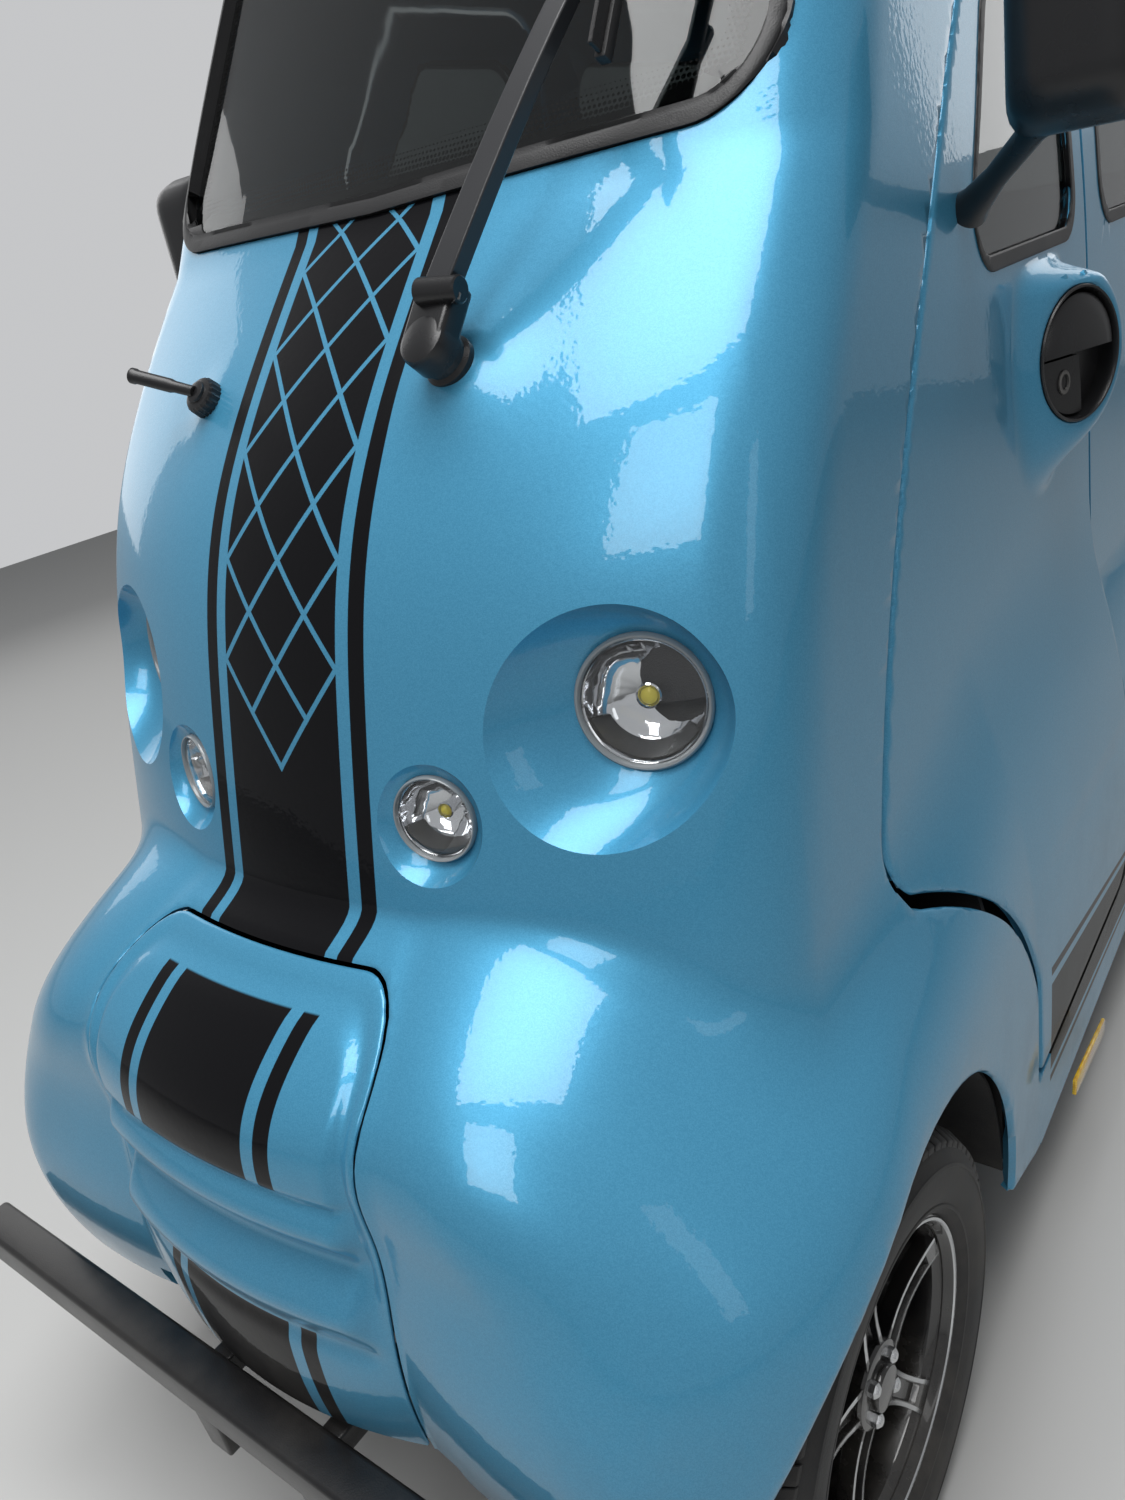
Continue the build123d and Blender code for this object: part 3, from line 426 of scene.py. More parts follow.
def throughRows(rows, z):
    # natural cubic through the rows' numbers, straight beyond them
    at = np.array([row[0] for row in rows])
    known = np.array([row[1:] for row in rows])
    step = np.diff(at)
    slope = np.diff(known, axis=0) / step[:, None]
    count = len(at)
    left = np.eye(count)
    right = np.zeros_like(known)
    for i in range(1, count - 1):
        left[i, i - 1:i + 2] = step[i - 1], 2 * (step[i - 1] + step[i]), step[i]
        right[i] = 6 * (slope[i] - slope[i - 1])
    bend = np.linalg.solve(left, right)
    i = int(np.clip(np.searchsorted(at, z) - 1, 0, count - 2))
    inside = min(max(z, at[0]), at[-1])
    a, b, h = at[i + 1] - inside, inside - at[i], step[i]
    value = (a * known[i] + b * known[i + 1]) / h
    value = value + ((a ** 3 / h - a * h) * bend[i] + (b ** 3 / h - b * h) * bend[i + 1]) / 6
    grade = slope[i] + (-(3 * a * a / h - h) * bend[i] + (3 * b * b / h - h) * bend[i + 1]) / 6
    return value + grade * (z - inside)


def reach(x, back, angles):
    # distance from the centre line's middle to an outline, at each angle
    away = skin["centre"] - back
    angle = np.arctan2(x, away)
    order = np.argsort(angle)
    return np.interp(angles, angle[order], np.hypot(x, away)[order])


def cabReach(z, angles):
    top = skin["cabRows"][-1]
    if z <= top[0]:
        front, bow, half, corner, rear, rearHalf = throughRows(skin["cabRows"], z)
    else:
        share = (z - top[0]) / (skin["roofRow"][0] - top[0])
        low, high = np.array(top[1:]), np.array(skin["roofRow"][1:])
        front, bow, half, corner, rear, rearHalf = low + share * (high - low)
    start = np.array((half, front + bow - math.sqrt(bow ** 2 - half ** 2)))
    stop = np.array((rearHalf, rear - 0.04))
    along = (stop - start) / np.linalg.norm(stop - start)
    out = np.array((along[1], -along[0]))
    base = start - out * corner
    middle = np.array((0, front + bow))
    rel = base - middle
    run = -(rel @ along) - math.sqrt((rel @ along) ** 2 - rel @ rel + (bow - corner) ** 2)
    turn = base + run * along
    edge = math.atan2(turn[0], middle[1] - turn[1])
    sweep = np.linspace(0, edge, 500)
    bend = np.linspace(edge, math.atan2(out[0], -out[1]), 400)
    line = np.linspace(0, 1, 200)[:, None]
    side = turn + out * corner + line * (stop - turn - out * corner)
    x = np.concatenate((bow * np.sin(sweep), turn[0] + corner * np.sin(bend), side[:, 0]))
    back = np.concatenate((middle[1] - bow * np.cos(sweep), turn[1] - corner * np.cos(bend), side[:, 1]))
    return reach(x, back, angles)


def bowed(run, rise, at):
    # an arc over run that rises by rise, level where at is 0
    bend = 2 * rise / (run ** 2 + rise ** 2)
    return at ** 2 * bend / (1 + np.sqrt(np.maximum(1 - (at * bend) ** 2, 0)))


def hullReach(z, angles):
    front, noseX, nose, wingX, wing, sideX, side, waist, tail = throughRows(skin["hullRows"], z)
    waistBack = skin["waistBack"]
    first = np.linspace(0, noseX, 400)
    second = np.linspace(noseX, wingX, 300)
    sweep = np.linspace(0, math.pi / 2, 600)
    line = np.linspace(0, 1, 200)
    x = np.concatenate((first, second, wingX + (sideX - wingX) * np.sin(sweep),
                        sideX + (waist - sideX) * line, waist - 0.036 * line))
    back = np.concatenate((
        front + bowed(noseX, nose - front, first),
        wing + bowed(noseX - wingX, nose - wing, second - wingX),
        side - (side - wing) * np.cos(sweep),
        side + (waistBack - side) * line, waistBack + (tail - 0.06 - waistBack) * line))
    return reach(x, back, angles)


def softMax(a, b, width):
    share = np.clip(0.5 + 0.5 * (a - b) / width, 0, 1)
    return b + (a - b) * share + width * share * (1 - share)


def skinRow(z, angles):
    # one level line of the skin, as x and distance behind the nose
    bare = np.abs(angles)
    low = skin["cabFrom"]
    away = cabReach(max(z, low), bare) if z > low else np.zeros_like(bare)
    if z < skin["hullTo"]:
        hull = hullReach(z, bare)
        rise = skin["foldSide"] - skin["foldMiddle"]
        fold = skin["foldMiddle"] + rise * np.clip((bare - 0.15) / 0.4, 0, 1) ** 1.5
        away = softMax(away, hull, fold) if z > low else hull
    return away * np.sin(angles), skin["centre"] - away * np.cos(angles)


def smoothStep(value, low, high):
    share = np.clip((value - low) / (high - low), 0, 1)
    return share * share * (3 - 2 * share)


def mouthDistance(bowl, x, y, z):
    # above 0 inside the round mouth of a lamp's bowl
    across, height, shift = bowl[0], bowl[1], bowl[5]
    found = bowl[4] - np.hypot(np.abs(x) - across - shift[0], z - height - shift[1])
    return np.where(backOf(y) < 0.5, found, -1.0)


def dentFront(x, back, z):
    for across, height, lens, flat, mouth, shift, lean in lampBowls:
        out, up = np.abs(x) - across, z - height
        away = np.hypot(out, up) + 1e-9
        out, up = out / away, up / away
        along = out * shift[0] + up * shift[1]
        rim = along + np.sqrt(mouth ** 2 - shift[0] ** 2 - shift[1] ** 2 + along ** 2)
        tilt = out * lean[0] + up * lean[1]
        inner = flat / np.sqrt(1 + tilt ** 2)
        share = np.clip((away - inner) / (rim - inner), 0, 1)
        wall = 0.55 * share + 0.45 * share ** 3
        back = np.where(away < rim, back + (lens + away * tilt - back) * (1 - wall), back)
    # raised ground under the wiper's pivot and the washer's cap
    for across, height, wide, rise in ((0.152, 1.108, 0.045, 0.012), (-0.150, 1.108, 0.026, 0.004)):
        back = back - rise * np.exp(-((x - across) ** 2 + 1.3 * (z - height) ** 2) / wide ** 2)
    return x, back


def steps(*spans):
    # places from spans of (start, stop, size)
    made = []
    for start, stop, size in spans:
        count = max(1, int(round((stop - start) / size)))
        made += list(np.linspace(start, stop, count, endpoint=False))
    return np.array(made + [spans[-1][1]])


def bothWays(*spans):
    # angles from spans in degrees, on either side of the middle
    half = steps(*np.radians(spans))
    return np.concatenate((-half[:0:-1], half))


def sideAngles(sign, *spans):
    angles = np.radians(steps(*spans))
    return angles if sign > 0 else -angles[::-1]


def openSheet(name, angles, heights, shape=None):
    # a grid on the skin, dented by shape and ready to be cut
    rows = []
    for z in heights:
        x, back = skinRow(z, angles)
        level = np.full_like(x, z)
        if shape:
            x, back = shape(x, back, level)
        rows.append(np.stack((x, back + noseY, level), axis=1))
    wide = len(angles)
    faces = [(j * wide + i, j * wide + i + 1, (j + 1) * wide + i + 1, (j + 1) * wide + i)
             for j in range(len(heights) - 1) for i in range(wide - 1)]
    mesh = bpy.data.meshes.new(name)
    mesh.from_pydata(np.concatenate(rows).tolist(), [], faces)
    mesh.update()
    work = bmesh.new()
    work.from_mesh(mesh)
    return mesh, work


def closeSheet(mesh, work, thick):
    # the cut sheet as a piece, thickened inwards
    work.to_mesh(mesh)
    work.free()
    piece = bpy.data.objects.new(mesh.name, mesh)
    bpy.context.scene.collection.objects.link(piece)
    return applied(piece, "SOLIDIFY", thickness=thick, offset=-1, use_even_offset=False)


def outlineDistance(x, y, outline):
    # distance to an outline, above 0 inside
    points = np.stack((x, y), axis=1)
    best = np.full(len(points), 9.0)
    inside = np.zeros(len(points), bool)
    for (ax, ay), (bx, by) in zip(outline, outline[1:] + outline[:1]):
        edge = np.array((bx - ax, by - ay))
        length = edge @ edge
        if length < 1e-14:
            continue
        share = np.clip(((points - (ax, ay)) @ edge) / length, 0, 1)
        best = np.minimum(best, np.linalg.norm(points - (ax, ay) - share[:, None] * edge, axis=1))
        spans = (ay > points[:, 1]) != (by > points[:, 1])
        with np.errstate(divide="ignore", invalid="ignore"):
            crossing = points[:, 0] < (bx - ax) * (points[:, 1] - ay) / (by - ay) + ax
        inside ^= spans & crossing
    return np.where(inside, best, -best)


def trim(work, distance, drop=True, level=0.0, snap=0.22):
    # cuts the sheet where distance is level, and drops what lies above it
    work.verts.ensure_lookup_table()
    work.verts.index_update()

    def measure(points):
        return distance(*np.array(points, float).reshape(-1, 3).T) - level

    def crossed():
        return [e for e in work.edges if value[e.verts[0].index] * value[e.verts[1].index] < 0]

    def places(edges):
        a = np.array([e.verts[0].co for e in edges])
        b = np.array([e.verts[1].co for e in edges])
        low, high = np.zeros(len(edges)), np.ones(len(edges))
        first = measure(a) > 0
        for _ in range(14):
            middle = (low + high) / 2
            same = (measure(a + (b - a) * middle[:, None]) > 0) == first
            low, high = np.where(same, middle, low), np.where(same, high, middle)
        return (low + high) / 2

    value = measure([v.co for v in work.verts])
    crossing = crossed()
    if not crossing and not (value > 0).any():
        return
    moved = {}
    if crossing:
        for edge, share in zip(crossing, places(crossing)):
            a, b = edge.verts
            near = a if share < snap else b if share > 1 - snap else None
            if near is not None and near not in moved and not near.is_boundary:
                moved[near] = a.co + (b.co - a.co) * share
    for vert, place in moved.items():
        vert.co = place
        value[vert.index] = 0
    crossing = crossed()
    state = {v: value[v.index] for v in work.verts}
    if crossing:
        for edge, share in zip(crossing, places(crossing)):
            made = bmesh.utils.edge_split(edge, edge.verts[0], float(share))[1]
            state[made] = 0.0
    onLine = [v for v, s in state.items() if s == 0.0]
    for face in {f for v in onLine for f in v.link_faces}:
        corners = [v for v in face.verts if state.get(v) == 0.0]
        if len(corners) == 2 and not any(set(e.verts) == set(corners) for e in face.edges):
            bmesh.utils.face_split(face, *corners)
    if drop:
        gone = [f for f in work.faces if sum(state.get(v, 0.0) for v in f.verts) > 0]
        bmesh.ops.delete(work, geom=gone, context="FACES")


def rollEdge(work, distance, radius):
    # turns the sheet's border inwards round a small radius
    for share in (0.12, 0.4, 1.0):
        trim(work, distance, drop=False, level=-radius * share, snap=0.3)
    work.normal_update()
    work.verts.ensure_lookup_table()
    away = -distance(*np.array([v.co for v in work.verts]).T)
    for vert, gap in zip(list(work.verts), away):
        if -0.0005 < gap < radius:
            vert.co -= vert.normal * (radius - math.sqrt(radius ** 2 - (radius - max(gap, 0)) ** 2))


def opposite(distance):
    return lambda x, y, z: -distance(x, y, z)


def arcThrough(a, b, c, count=14):
    (ax, ay), (bx, by), (cx, cy) = a, b, c
    d = 2 * (ax * (by - cy) + bx * (cy - ay) + cx * (ay - by))
    aa, bb, cc = ax * ax + ay * ay, bx * bx + by * by, cx * cx + cy * cy
    ux = (aa * (by - cy) + bb * (cy - ay) + cc * (ay - by)) / d
    uy = (aa * (cx - bx) + bb * (ax - cx) + cc * (bx - ax)) / d
    radius = math.hypot(ax - ux, ay - uy)
    start, stop = (math.atan2(y - uy, x - ux) for x, y in (a, c))
    sweep = (stop - start + math.pi) % (2 * math.pi) - math.pi
    angles = [start + sweep * i / count for i in range(count + 1)]
    return [(ux + radius * math.cos(angle), uy + radius * math.sin(angle)) for angle in angles]


def roundCorners(points, radii, count=10):
    made = []
    for i, (corner, radius) in enumerate(zip(points, radii)):
        here, before, after = Vector(corner), Vector(points[i - 1]), Vector(points[(i + 1) % len(points)])
        if not radius:
            made.append(tuple(corner))
            continue
        to, on = (before - here).normalized(), (after - here).normalized()
        half = to.angle(on) / 2
        reachOut = radius / math.tan(half)
        middle = here + (to + on).normalized() * radius / math.sin(half)
        start, stop = here + to * reachOut - middle, here + on * reachOut - middle
        for j in range(count + 1):
            made.append(tuple(middle + (start * (1 - j / count) + stop * (j / count)).normalized() * radius))
    return made


def doorOutline(inset, wingInset):
    # in the side view: distance behind the nose, height
    radius = hub["wingSeam"] + wingInset
    low = 0.721 + wingInset
    arc = [(hub["back"] + radius * math.cos(math.radians(a)), hub["height"] + radius * math.sin(math.radians(a)))
           for a in np.linspace(21, 68, 30)]
    knee = (0.462 + inset, 0.700)
    foot = arcThrough(arc[-1], (0.459 + inset, 0.672), knee)[1:]
    front = arcThrough(knee, (0.552 + inset, 0.958), (0.782 + inset, 1.299), 40)[1:]
    top, bottom, rear = 1.478 - inset, 0.256 + inset, 1.180 - inset
    corner = 0.060 - inset
    corners = [(0.906 + inset, top), (rear, top), (rear, bottom), (low, bottom)]
    return arc + foot + front + roundCorners(corners, (0, corner, corner, 0))


def windowOutline(inset):
    low, top, rear, corner = 1.100 + inset, 1.416 - inset, 1.118 - inset, 0.040 - inset
    corners = [(0.745 + inset, low), (0.857 + inset, 1.299), (0.940 + inset, top), (rear, top), (rear, low)]
    return roundCorners(corners, (corner, 0, corner, corner, corner))


def screenOutline(inset):
    low, top, corner = 1.239 + inset, 1.560 - inset, 0.062 - inset
    wide, narrow = 0.352 - inset, 0.318 - inset
    corners = [(-wide, low), (0, 1.229 + inset), (wide, low), (narrow, top), (-narrow, top)]
    return roundCorners(corners, (corner, 0, corner, corner, corner))


def panelOutline(inset):
    wide, low, top, corner = 0.175 - inset, 0.330 + inset, 0.706 - inset, 0.060 - inset
    return roundCorners([(-wide, low), (wide, low), (wide, top), (-wide, top)], (0, 0, corner, corner))


def quarterOutline(inset):
    low, top, front = 1.100 + inset, 1.416 - inset, 1.255 + inset
    return roundCorners([(front, low), (front, top), (1.760 - inset, top), (1.860 - inset, low)], [0.050 - inset] * 4)


def rearOutline(inset):
    low, top, wide, narrow = 1.124 + inset, 1.486 - inset, 0.285 - inset, 0.255 - inset
    return roundCorners([(-wide, low), (wide, low), (narrow, top), (-narrow, top)], [0.060 - inset] * 4)


def sideDistance(outline):
    # inside a side view outline, on either side of the car
    return lambda x, y, z: np.where(np.abs(x) > 0.25, outlineDistance(backOf(y), z, outline), -1.0)


def frontDistance(outline, farthest=0.9):
    return lambda x, y, z: np.where(backOf(y) < farthest, outlineDistance(x, z, outline), -1.0)


def archDistance(x, y, z):
    found = hub["arch"] - np.hypot(backOf(y) - hub["back"], z - hub["height"])
    return np.where(np.abs(x) > hub["archInner"], found, -1.0)


def underDistance(x, y, z):
    return np.interp(backOf(y), (-0.06, 0.6, 0.72, 1.8, 2.3), (0.25, 0.205, 0.15, 0.15, 0.28)) - z


def noseDistance(x, y, z):
    return np.where(backOf(y) < 0.16, np.minimum(0.205 - np.abs(x), 0.330 - z), -1.0)


def lampDistance(x, y, z):
    found = np.full(np.shape(x), -1.0)
    for across, height, lens, flat, mouth, shift, lean in lampBowls:
        out, up = np.abs(x) - across, z - height
        away = np.sqrt(out ** 2 + up ** 2 + (out * lean[0] + up * lean[1]) ** 2)
        found = np.maximum(found, np.where(backOf(y) < 0.5, flat - 0.0002 - away, -1.0))
    return found


def rearDistance(x, y, z):
    return backOf(y) - np.interp(z, (1.230, 1.500), (0.735, 0.980))


# modelling helpers
def clearSelection():
    if bpy.context.mode != "OBJECT":
        bpy.ops.object.mode_set(mode="OBJECT")
    bpy.ops.object.select_all(action="DESELECT")


def pick(piece):
    clearSelection()
    piece.select_set(True)
    bpy.context.view_layer.objects.active = piece


def editAll(piece, operator, **values):
    # runs an operator of edit mode on the whole piece
    pick(piece)
    bpy.ops.object.mode_set(mode="EDIT")
    bpy.ops.mesh.select_all(action="SELECT")
    operator(**values)
    bpy.ops.object.mode_set(mode="OBJECT")
    return piece


def chooseFaces(piece, test):
    # edit mode, with the faces that the test picks selected
    pick(piece)
    bpy.ops.object.mode_set(mode="EDIT")
    bpy.ops.mesh.select_mode(type="FACE")
    bpy.ops.mesh.select_all(action="DESELECT")
    bpy.ops.object.mode_set(mode="OBJECT")
    for face in piece.data.polygons:
        face.select = test(face)
    bpy.ops.object.mode_set(mode="EDIT")


def sunk(piece, test, border, deep):
    # insets the chosen faces and sinks them by a way
    chooseFaces(piece, test)
    bpy.ops.mesh.inset(thickness=border)
    bpy.ops.mesh.extrude_region_move(TRANSFORM_OT_translate={"value": deep})
    bpy.ops.object.mode_set(mode="OBJECT")


def applied(piece, kind, **settings):
    made = piece.modifiers.new("made", kind)
    for key, value in settings.items():
        setattr(made, key, value)
    pick(piece)
    bpy.ops.object.modifier_apply(modifier="made")
    return piece


def rounded(piece, width, segments, angle=30):
    return applied(piece, "BEVEL", width=width, segments=segments, limit_method="ANGLE",
                   angle_limit=math.radians(angle))


def finish(piece, material, body, replaces=(), angle=35):
    # a piece without a material keeps its own ones
    if material:
        piece.data.materials.clear()
        piece.data.materials.append(material)
    pick(piece)
    bpy.ops.object.transform_apply(location=True, rotation=True, scale=True)
    bpy.ops.object.shade_smooth_by_angle(angle=math.radians(angle))
    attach(piece, body)
    if replaces:
        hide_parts(*replaces)
    return piece


def turned(name, profile, sides=48, closed=False, scale=1.0):
    # a turned shape round Z, from (radius, height) steps
    profile = [(radius * scale, height) for radius, height in profile]
    clearSelection()
    bpy.ops.mesh.primitive_circle_add(vertices=sides, radius=profile[0][0], location=(0, 0, 0))
    piece = bpy.context.object
    piece.name = name
    bpy.ops.object.mode_set(mode="EDIT")
    bpy.ops.mesh.select_mode(type="VERT")
    bpy.ops.mesh.select_all(action="SELECT")
    bpy.ops.transform.translate(value=(0, 0, profile[0][1]))
    for (fromRadius, fromZ), (toRadius, toZ) in zip(profile, profile[1:]):
        bpy.ops.mesh.extrude_region_move(TRANSFORM_OT_translate={"value": (0, 0, toZ - fromZ)})
        share = toRadius / fromRadius
        bpy.ops.transform.resize(value=(share, share, 1), center_override=(0, 0, 0))
    bpy.ops.mesh.select_all(action="SELECT")
    if closed:
        bpy.ops.mesh.remove_doubles(threshold=0.00001)
    else:
        bpy.ops.mesh.fill_holes(sides=0)
    bpy.ops.mesh.normals_make_consistent(inside=False)
    bpy.ops.object.mode_set(mode="OBJECT")
    return piece


def block(name, size, bevel=0.0, segments=2, place=(0, 0, 0)):
    # a block, bevelled or to be shaped further
    clearSelection()
    bpy.ops.mesh.primitive_cube_add(size=1, location=(0, 0, 0))
    piece = bpy.context.object
    piece.name = name
    bpy.ops.object.mode_set(mode="EDIT")
    bpy.ops.mesh.select_mode(type="VERT")
    bpy.ops.mesh.select_all(action="SELECT")
    bpy.ops.transform.resize(value=size, center_override=(0, 0, 0))
    bpy.ops.transform.translate(value=place)
    if bevel:
        bpy.ops.mesh.bevel(offset=bevel, segments=segments, affect="EDGES")
    bpy.ops.object.mode_set(mode="OBJECT")
    return piece


def beveled(piece, offset, segments, profile=0.5):
    return editAll(piece, bpy.ops.mesh.bevel, offset=offset, segments=segments, affect="EDGES", profile=profile)


def between(start, stop, turn=(1, 0, 0)):
    # a frame whose Z runs from start to stop and whose X is near the given way
    start, stop = Vector(start), Vector(stop)
    ahead = (stop - start).normalized()
    across = (Vector(turn) - ahead * Vector(turn).dot(ahead)).normalized()
    up = ahead.cross(across)
    return Matrix.Translation(start) @ Matrix((across, up, ahead)).transposed().to_4x4()


def put(piece, matrix):
    piece.matrix_world = matrix
    pick(piece)
    bpy.ops.object.transform_apply(location=True, rotation=True, scale=True)
    return piece


def spun(piece, angle):
    return put(piece, Matrix.Rotation(angle, 4, "Z"))


def joined(name, pieces):
    clearSelection()
    for piece in pieces:
        piece.select_set(True)
    bpy.context.view_layer.objects.active = pieces[0]
    if len(pieces) > 1:
        bpy.ops.object.join()
    pieces[0].name = name
    return pieces[0]


def copied(piece, name):
    made = piece.copy()
    made.data = piece.data.copy()
    made.name = name
    bpy.context.scene.collection.objects.link(made)
    return made


def cutPiece(piece, at, normal):
    # cuts a closed piece by a plane, drops what lies on the normal's side and closes the cut
    editAll(piece, bpy.ops.mesh.bisect, plane_co=at, plane_no=normal, use_fill=True, clear_outer=True)


def turnedOver(piece):
    # mirrors a piece to the car's other side
    editAll(piece, bpy.ops.transform.mirror, constraint_axis=(True, False, False), center_override=(0, 0, 0))
    return editAll(piece, bpy.ops.mesh.flip_normals)


def bothSides(piece, name, material, replaces=(), angle=35):
    far = turnedOver(copied(piece, name + "Far"))
    return finish(joined(name, [piece, far]), material, "root", replaces, angle)


def copyNode(node, name, material, body="root", slotName=None):
    # a CAD node's own shape, merged and shaded smooth
    piece = bpy.data.objects.new(name, nodes[node].data.copy())
    bpy.context.scene.collection.objects.link(piece)
    editAll(piece, bpy.ops.mesh.remove_doubles, threshold=0.00002)
    finish(piece, material, body, (node,), 30)
    # large faces lead the shading, so that thin triangles leave no streaks
    applied(piece, "WEIGHTED_NORMAL", weight=90, keep_sharp=True)


def makeFrontBody():
    angles = bothWays((0, 5.5, 0.75), (5.5, 31, 0.33), (31, 92, 1.05))
    heights = steps((0.150, 0.640, 0.012), (0.640, 0.760, 0.0045), (0.760, 0.980, 0.0042), (0.980, 1.230, 0.010),
                    (1.230, 1.500, 0.018))
    mesh, work = openSheet("frontBody", angles, heights)
    for bowl in lampBowls:   # edge loops round each bowl's mouth, before it is sunk
        for level in (-0.0020, 0.0, 0.0012, 0.0035):
            trim(work, lambda x, y, z: mouthDistance(bowl, x, y, z), drop=False, level=level)
    flat = np.array([vert.co for vert in work.verts])
    across, back = dentFront(flat[:, 0], backOf(flat[:, 1]), flat[:, 2])
    for vert, x, away in zip(work.verts, across, back):
        vert.co.x, vert.co.y = x, away + noseY
    door = sideDistance(doorOutline(0, 0))
    screen = frontDistance(screenOutline(0))
    panel = frontDistance(panelOutline(0), 0.27)
    for cut in (rearDistance, underDistance, noseDistance, archDistance, lampDistance, door, screen, panel):
        trim(work, cut)
    for cut, radius in ((archDistance, 0.006), (door, 0.004), (panel, 0.0015), (underDistance, 0.004)):
        rollEdge(work, cut, radius)
    finish(closeSheet(mesh, work, 0.010), bodyPaint, "root", ("front_body",))


def dentPanel(x, back, z):
    inset = outlineDistance(x.ravel(), z.ravel(), panelOutline(0.003)).reshape(x.shape)
    # channel round the raised upper field
    back = back + 0.0055 * np.exp(-((inset - 0.013) / 0.0065) ** 2) * smoothStep(z, 0.45, 0.50)
    back = back - 0.0020 * smoothStep(inset, 0.016, 0.024) * smoothStep(z, 0.572, 0.584)
    # two ribs and the grooves over them
    across = smoothStep(inset, 0.004, 0.030)
    dip = 0.006 * (np.abs(x) / 0.172) ** 2
    for height, deep, wide in ((0.553, -0.0105, 0.017), (0.478, -0.0130, 0.022), (0.577, 0.0030, 0.005),
                               (0.519, 0.0065, 0.014), (0.440, 0.0040, 0.010)):
        back = back + deep * across * np.exp(-((z - height + dip) / wide) ** 2)
    return x, back


def makeNosePanel():
    mesh, work = openSheet("nosePanel", bothWays((0, 11.5, 0.21)), steps((0.325, 0.712, 0.0035)), dentPanel)
    outside = opposite(frontDistance(panelOutline(0.0018), 0.27))
    trim(work, outside)
    rollEdge(work, outside, 0.0015)
    finish(closeSheet(mesh, work, 0.006), panelPaint, "root", ("nose_panel",))


# the handle's ground is raised and turned a little to the front
handle = {"back": 0.960, "height": 0.990, "face": 0.425, "slope": 0.40, "half": (0.056, 0.066)}


def handleAway(back, z):
    return np.hypot((back - handle["back"]) / handle["half"][0], (z - handle["height"]) / handle["half"][1])


def plateDistance(x, y, z):
    return np.where(np.abs(x) > 0.3, (1 - handleAway(backOf(y), z)) * handle["half"][0], -1.0)


def dentDoor(x, back, z):
    face = handle["face"] + handle["slope"] * (back - handle["back"])
    share = (1 - smoothStep(handleAway(back, z), 1.06, 2.15)) * (1 - smoothStep(z, 1.057, 1.086))
    return x + np.sign(x) * (face - np.abs(x)) * share, back


def makeDoor(sign, side):
    angles = sideAngles(sign, (33, 65, 0.62), (65, 103, 0.36), (103, 118, 0.62))
    heights = steps((0.240, 0.550, 0.012), (0.550, 0.720, 0.006), (0.720, 0.840, 0.010), (0.840, 1.110, 0.0045),
                    (1.110, 1.490, 0.012))
    mesh, work = openSheet("door" + side, angles, heights, dentDoor)
    outside = opposite(sideDistance(doorOutline(0.005, 0.012)))
    window = sideDistance(windowOutline(0))
    edges = ((outside, 0.004), (window, 0.003), (plateDistance, 0.0022))
    for cut, radius in edges:
        trim(work, cut)
    for cut, radius in edges:
        rollEdge(work, cut, radius)
    node = "door_" + side.lower()
    finish(closeSheet(mesh, work, 0.014), bodyPaint, node, (node,))


sides = ((1, "Left"), (-1, "Right"))
makeFrontBody()
makeNosePanel()
for sign, side in sides:
    makeDoor(sign, side)
copyNode("rear_body", "rearBody", plainPaint, slotName="body_paint")
copyNode("roof_panel", "roofPanel", plainPaint, slotName="body_paint")
print("body made")

# lamps
bezelPlastic = makePlastic("bezelPlastic", (0.25, 0.27, 0.28), 0.22, 300.0, 0.03, Coat_Weight=0.6)
lampChrome = makePlastic("lampChrome", (0.62, 0.63, 0.65), 0.06, 90.0, 0.10, Metallic=1.0)
ledYellow = makePlastic("ledYellow", (0.75, 0.62, 0.06), 0.25, 300.0, 0.1)
lampDark = makePlastic("lampDark", (0.02, 0.022, 0.025), 0.2, 300.0, 0.1)

lampSets = {
    "head": {"place": (0.2945, 0.312, 0.874), "facing": (0.340, -0.930, 0.120), "radius": 0.0518,
             "node": "headlamps", "flutes": 22},
    "fog": {"place": (0.149, 0.222, 0.802), "facing": (0.250, -0.950, 0.100), "radius": 0.0356,
            "node": "fog_lamps", "flutes": 14},
}


def fluted(bowl, flutes):
    # flutes round the bowl, and facets that turn as they go in
    for vert in bowl.data.vertices:
        angle = math.atan2(vert.co.y, vert.co.x)
        wave = 0.028 * math.cos(flutes * (angle + 14 * vert.co.z)) * (0.6 + 0.4 * math.cos(angle - 0.8))
        wave += 1 + 0.030 * math.cos(5 * angle + 1.0)
        if -0.0290 < vert.co.z < -0.0040:
            vert.co.x, vert.co.y = vert.co.x * wave, vert.co.y * wave
    return bowl


